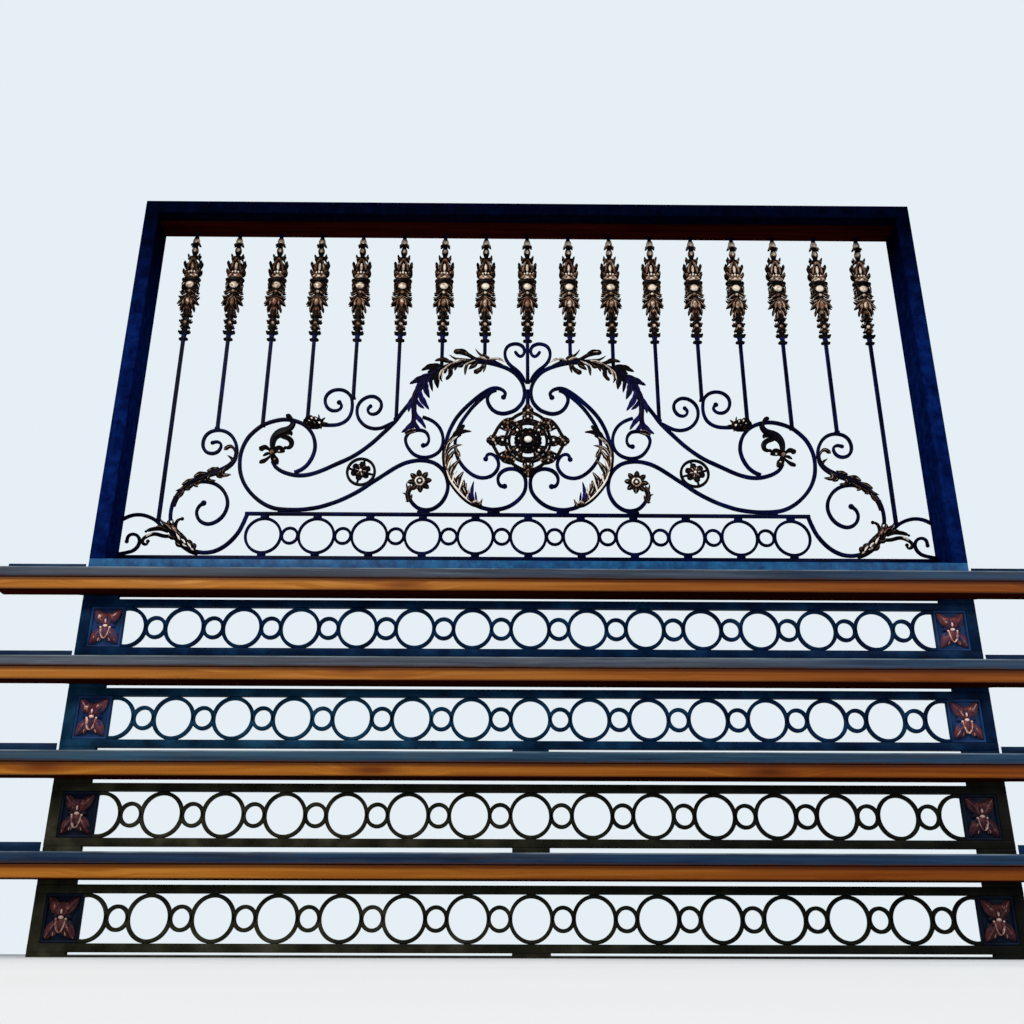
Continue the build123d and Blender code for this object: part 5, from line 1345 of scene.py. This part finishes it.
# eight flower bosses on stems, with small pearls
for g, R1 in ((0, 112), (180, 112), (90, 103), (270, 103), (42, 88), (138, 88), (222, 88), (318, 88)):
    straight = g % 90 == 0
    sweep(b, [polar(72, g), polar(82, g), polar(R1 - 6, g)], rsec(19 if straight else 14, 10, 3.5, 2), RY, rub=0.08)
    cxx, czz = polar(R1, g)
    rad = 19.5 if straight else 20.0
    for j in range(6):
        aa = math.radians(g + 60 * j + (0 if straight else 15))
        petal(b, cxx, czz, aa, 2, rad + (3.0 if straight and j == 0 else 0), 11.0, RY - 6, RY - 3, "fan", th=7, dome=0.42, rib=1.2,
              base=-0.04 if j % 2 else 0.08, gain=0.68, n=8, m=6)
    blob(b, cxx, RY - 9, czz, 5.0, 4.4, 5.0, 0.66, 12, 7)
    for j in range(4):
        aa = math.radians(g + 90 * j + 38)
        blob(b, cxx + 12 * math.cos(aa), RY - 8.5, czz + 12 * math.sin(aa), 3.2, 3.0, 3.2, 0.62 if j % 2 else 0.45, 8, 5)
    if straight:
        x, z = polar(82, g)
        blob(b, x, RY - 8, z, 3.8, 3.8, 3.8, 1.0, 12, 7)
        for s in (1, -1):
            sweep(b, [polar(75, g + s * 11), polar(86, g + s * 10), polar(R1 - 12, g + s * 5)], rsec(7.5, 8, 2, 1), RY - 1, rub=0.1)
            x, z = polar(90, g + s * 8)
            blob(b, x, RY - 6, z, 3.8, 3.6, 3.8, 0.55, 8, 5)
    else:
        for s in (1, -1):
            sweep(b, [polar(75, g + s * 14), polar(84, g + s * 15), polar(edge_r(g + s * 15) - 2, g + s * 15)], rsec(7.5, 8, 2, 1), RY - 1, rub=0.1)
            x, z = polar(80, g + s * 15)
            blob(b, x, RY - 6, z, 4.2, 3.8, 4.2, 0.66, 8, 5)
b.make("centre_rosette", casting, "rubbed_casting", ["centre_rosette"])

b = Build()
sx_, sz_ = mm((737, 738))
lathe(b, [(4, 4), (17, 3), (18, -2), (14, -5), (4, -6)], sx_, PY - 8, "y", 32, 0.12, 0, 0, sz_)
torus(b, sx_, sz_, 13.0, 2.6, PY - 14, 0.75)
torus(b, sx_, sz_, 8.2, 1.6, PY - 14, 0.1, 28)
# centre pearl, its cream a painted highlight
blob(b, sx_, PY - 15, sz_, 4.8, 4.5, 4.8, 1.0, 14, 8)
for k in range(8):
    a = 2 * math.pi * (k + 0.12) / 8
    petal(b, sx_, sz_, a, 13, 39, 9.2, PY - 10, PY - 13, "spear", th=6, dome=0.34, rib=1.4, base=0.0, gain=0.75, n=10, m=8)
    petal(b, sx_, sz_, a + math.pi / 8, 12, 27, 5.6, PY - 8, PY - 8, "spear", th=4, dome=0.3, rib=0.8, base=0.1, gain=0.6, n=8, m=6)
for pts, w, kind in (([(713, 790), (709, 776), (710, 762), (716, 748)], 7.0, "strap"), ([(711, 776), (704, 771), (697, 768)], 5.0, "thorn"),
                     ([(712, 784), (709, 788), (705, 790)], 4.5, "thorn"), ([(713, 784), (718, 779), (720, 771)], 6.0, "thorn"),
                     ([(714, 762), (722, 752), (728, 748)], 5.0, "strap"), ([(709, 758), (706, 748), (707, 740)], 4.0, "thorn")):
    leaflet(b, pts, w, kind, (8, 12), n=12, th=5, base=0.12, gain=0.6)
b.mirror().make("scroll_rosettes", casting, "rubbed_casting", ["scroll_rosettes"])

b = Build()
gx, gz = mm((593, 711.5))
ring(b, gx, gz, 48, 8.5, BAR, PY, 64)
for k in range(4):
    a = math.radians(90 * k - 15)
    q = np.stack([gx + np.linspace(18, 43, 8) * math.cos(a), gz + np.linspace(18, 43, 8) * math.sin(a)], 1)
    sweep(b, q, rsec(8, 9, 3, 2), PY - 1, np.linspace(1.0, 0.85, 8), rub=0.0)
for k in range(6):
    a = 2 * math.pi * (k + 0.3) / 6
    petal(b, gx, gz, a, 5, 32, 12.0, PY - 7, PY - 9, "fan", th=7, dome=0.34, rib=1.4, lobes=2, base=0.0, gain=0.62, n=12, m=8)
    petal(b, gx, gz, a + math.pi / 6, 3, 18, 6.5, PY - 11, PY - 14, "fan", th=4, dome=0.35, rib=0.9, base=0.2, gain=0.7, n=9, m=6)
# centre pearl, its cream a painted highlight
blob(b, gx, PY - 15, gz, 4.6, 4.2, 4.6, 0.95, 12, 7)
b.mirror().make("flower_rings", casting, "rubbed_casting", ["flower_rings"])

# ----------------------------------------------------------- stage and light
fl = bpy.data.meshes.new("floor")
S = 14.0
fl.from_pydata([(-S, -S, -0.0006), (S, -S, -0.0006), (S, S, -0.0006), (-S, S, -0.0006)], [], [(0, 1, 2, 3)])
floor = bpy.data.objects.new("floor", fl)
bpy.context.scene.collection.objects.link(floor)
fm, nt, bs = material("floor_mat", 0.75)
c = ramp(nt, noise(nt, coords(nt), 1.5, 3.0), [(0.3, (0.78, 0.77, 0.75)), (0.7, (0.84, 0.83, 0.81))])
nt.links.new(c, bs.inputs["Base Color"])
bump(nt, bs, noise(nt, coords(nt), 90.0, 3.0), 0.05, 0.001)
fl.materials.append(fm)

world = bpy.data.worlds.new("world")
bpy.context.scene.world = world
world.use_nodes = True
wt = world.node_tree
bg = wt.nodes["Background"]
bg.inputs["Color"].default_value = (0.60, 0.72, 0.86, 1.0)
bg.inputs["Strength"].default_value = 0.42
seen = wt.nodes.new("ShaderNodeBackground")
seen.inputs["Color"].default_value = (0.80, 0.88, 0.93, 1.0)
seen.inputs["Strength"].default_value = 0.98
lp = wt.nodes.new("ShaderNodeLightPath")
dim = wt.nodes.new("ShaderNodeBackground")
dim.inputs["Color"].default_value = (0.50, 0.62, 0.80, 1.0)
dim.inputs["Strength"].default_value = 0.14
mg_ = wt.nodes.new("ShaderNodeMixShader")
wt.links.new(lp.outputs["Is Glossy Ray"], mg_.inputs[0])
wt.links.new(bg.outputs[0], mg_.inputs[1])
wt.links.new(dim.outputs[0], mg_.inputs[2])
mx = wt.nodes.new("ShaderNodeMixShader")
wt.links.new(lp.outputs["Is Camera Ray"], mx.inputs[0])
wt.links.new(mg_.outputs[0], mx.inputs[1])
wt.links.new(seen.outputs[0], mx.inputs[2])
wt.links.new(mx.outputs[0], wt.nodes["World Output"].inputs["Surface"])


def area(name, loc, target, size, power, color=(1, 1, 1)):
    L = bpy.data.lights.new(name, "AREA")
    L.shape = "RECTANGLE"
    L.size, L.size_y = size
    L.energy = power
    L.color = color
    o = bpy.data.objects.new(name, L)
    bpy.context.scene.collection.objects.link(o)
    o.location = loc
    o.rotation_euler = (Vector(target) - Vector(loc)).to_track_quat("-Z", "Y").to_euler()
    return o


area("key", (-2.6, -4.6, 4.6), (0, 0, 1.2), (2.6, 2.0), 300.0, (1.0, 0.97, 0.92))
area("fill", (3.6, -3.8, 2.6), (0, 0, 1.1), (2.2, 2.2), 90.0, (0.88, 0.94, 1.0))
area("back", (0.5, 3.0, 3.6), (0, 0, 1.4), (3.0, 1.5), 14.0, (0.95, 0.97, 1.0))

bpy.context.scene.view_settings.view_transform = "Standard"
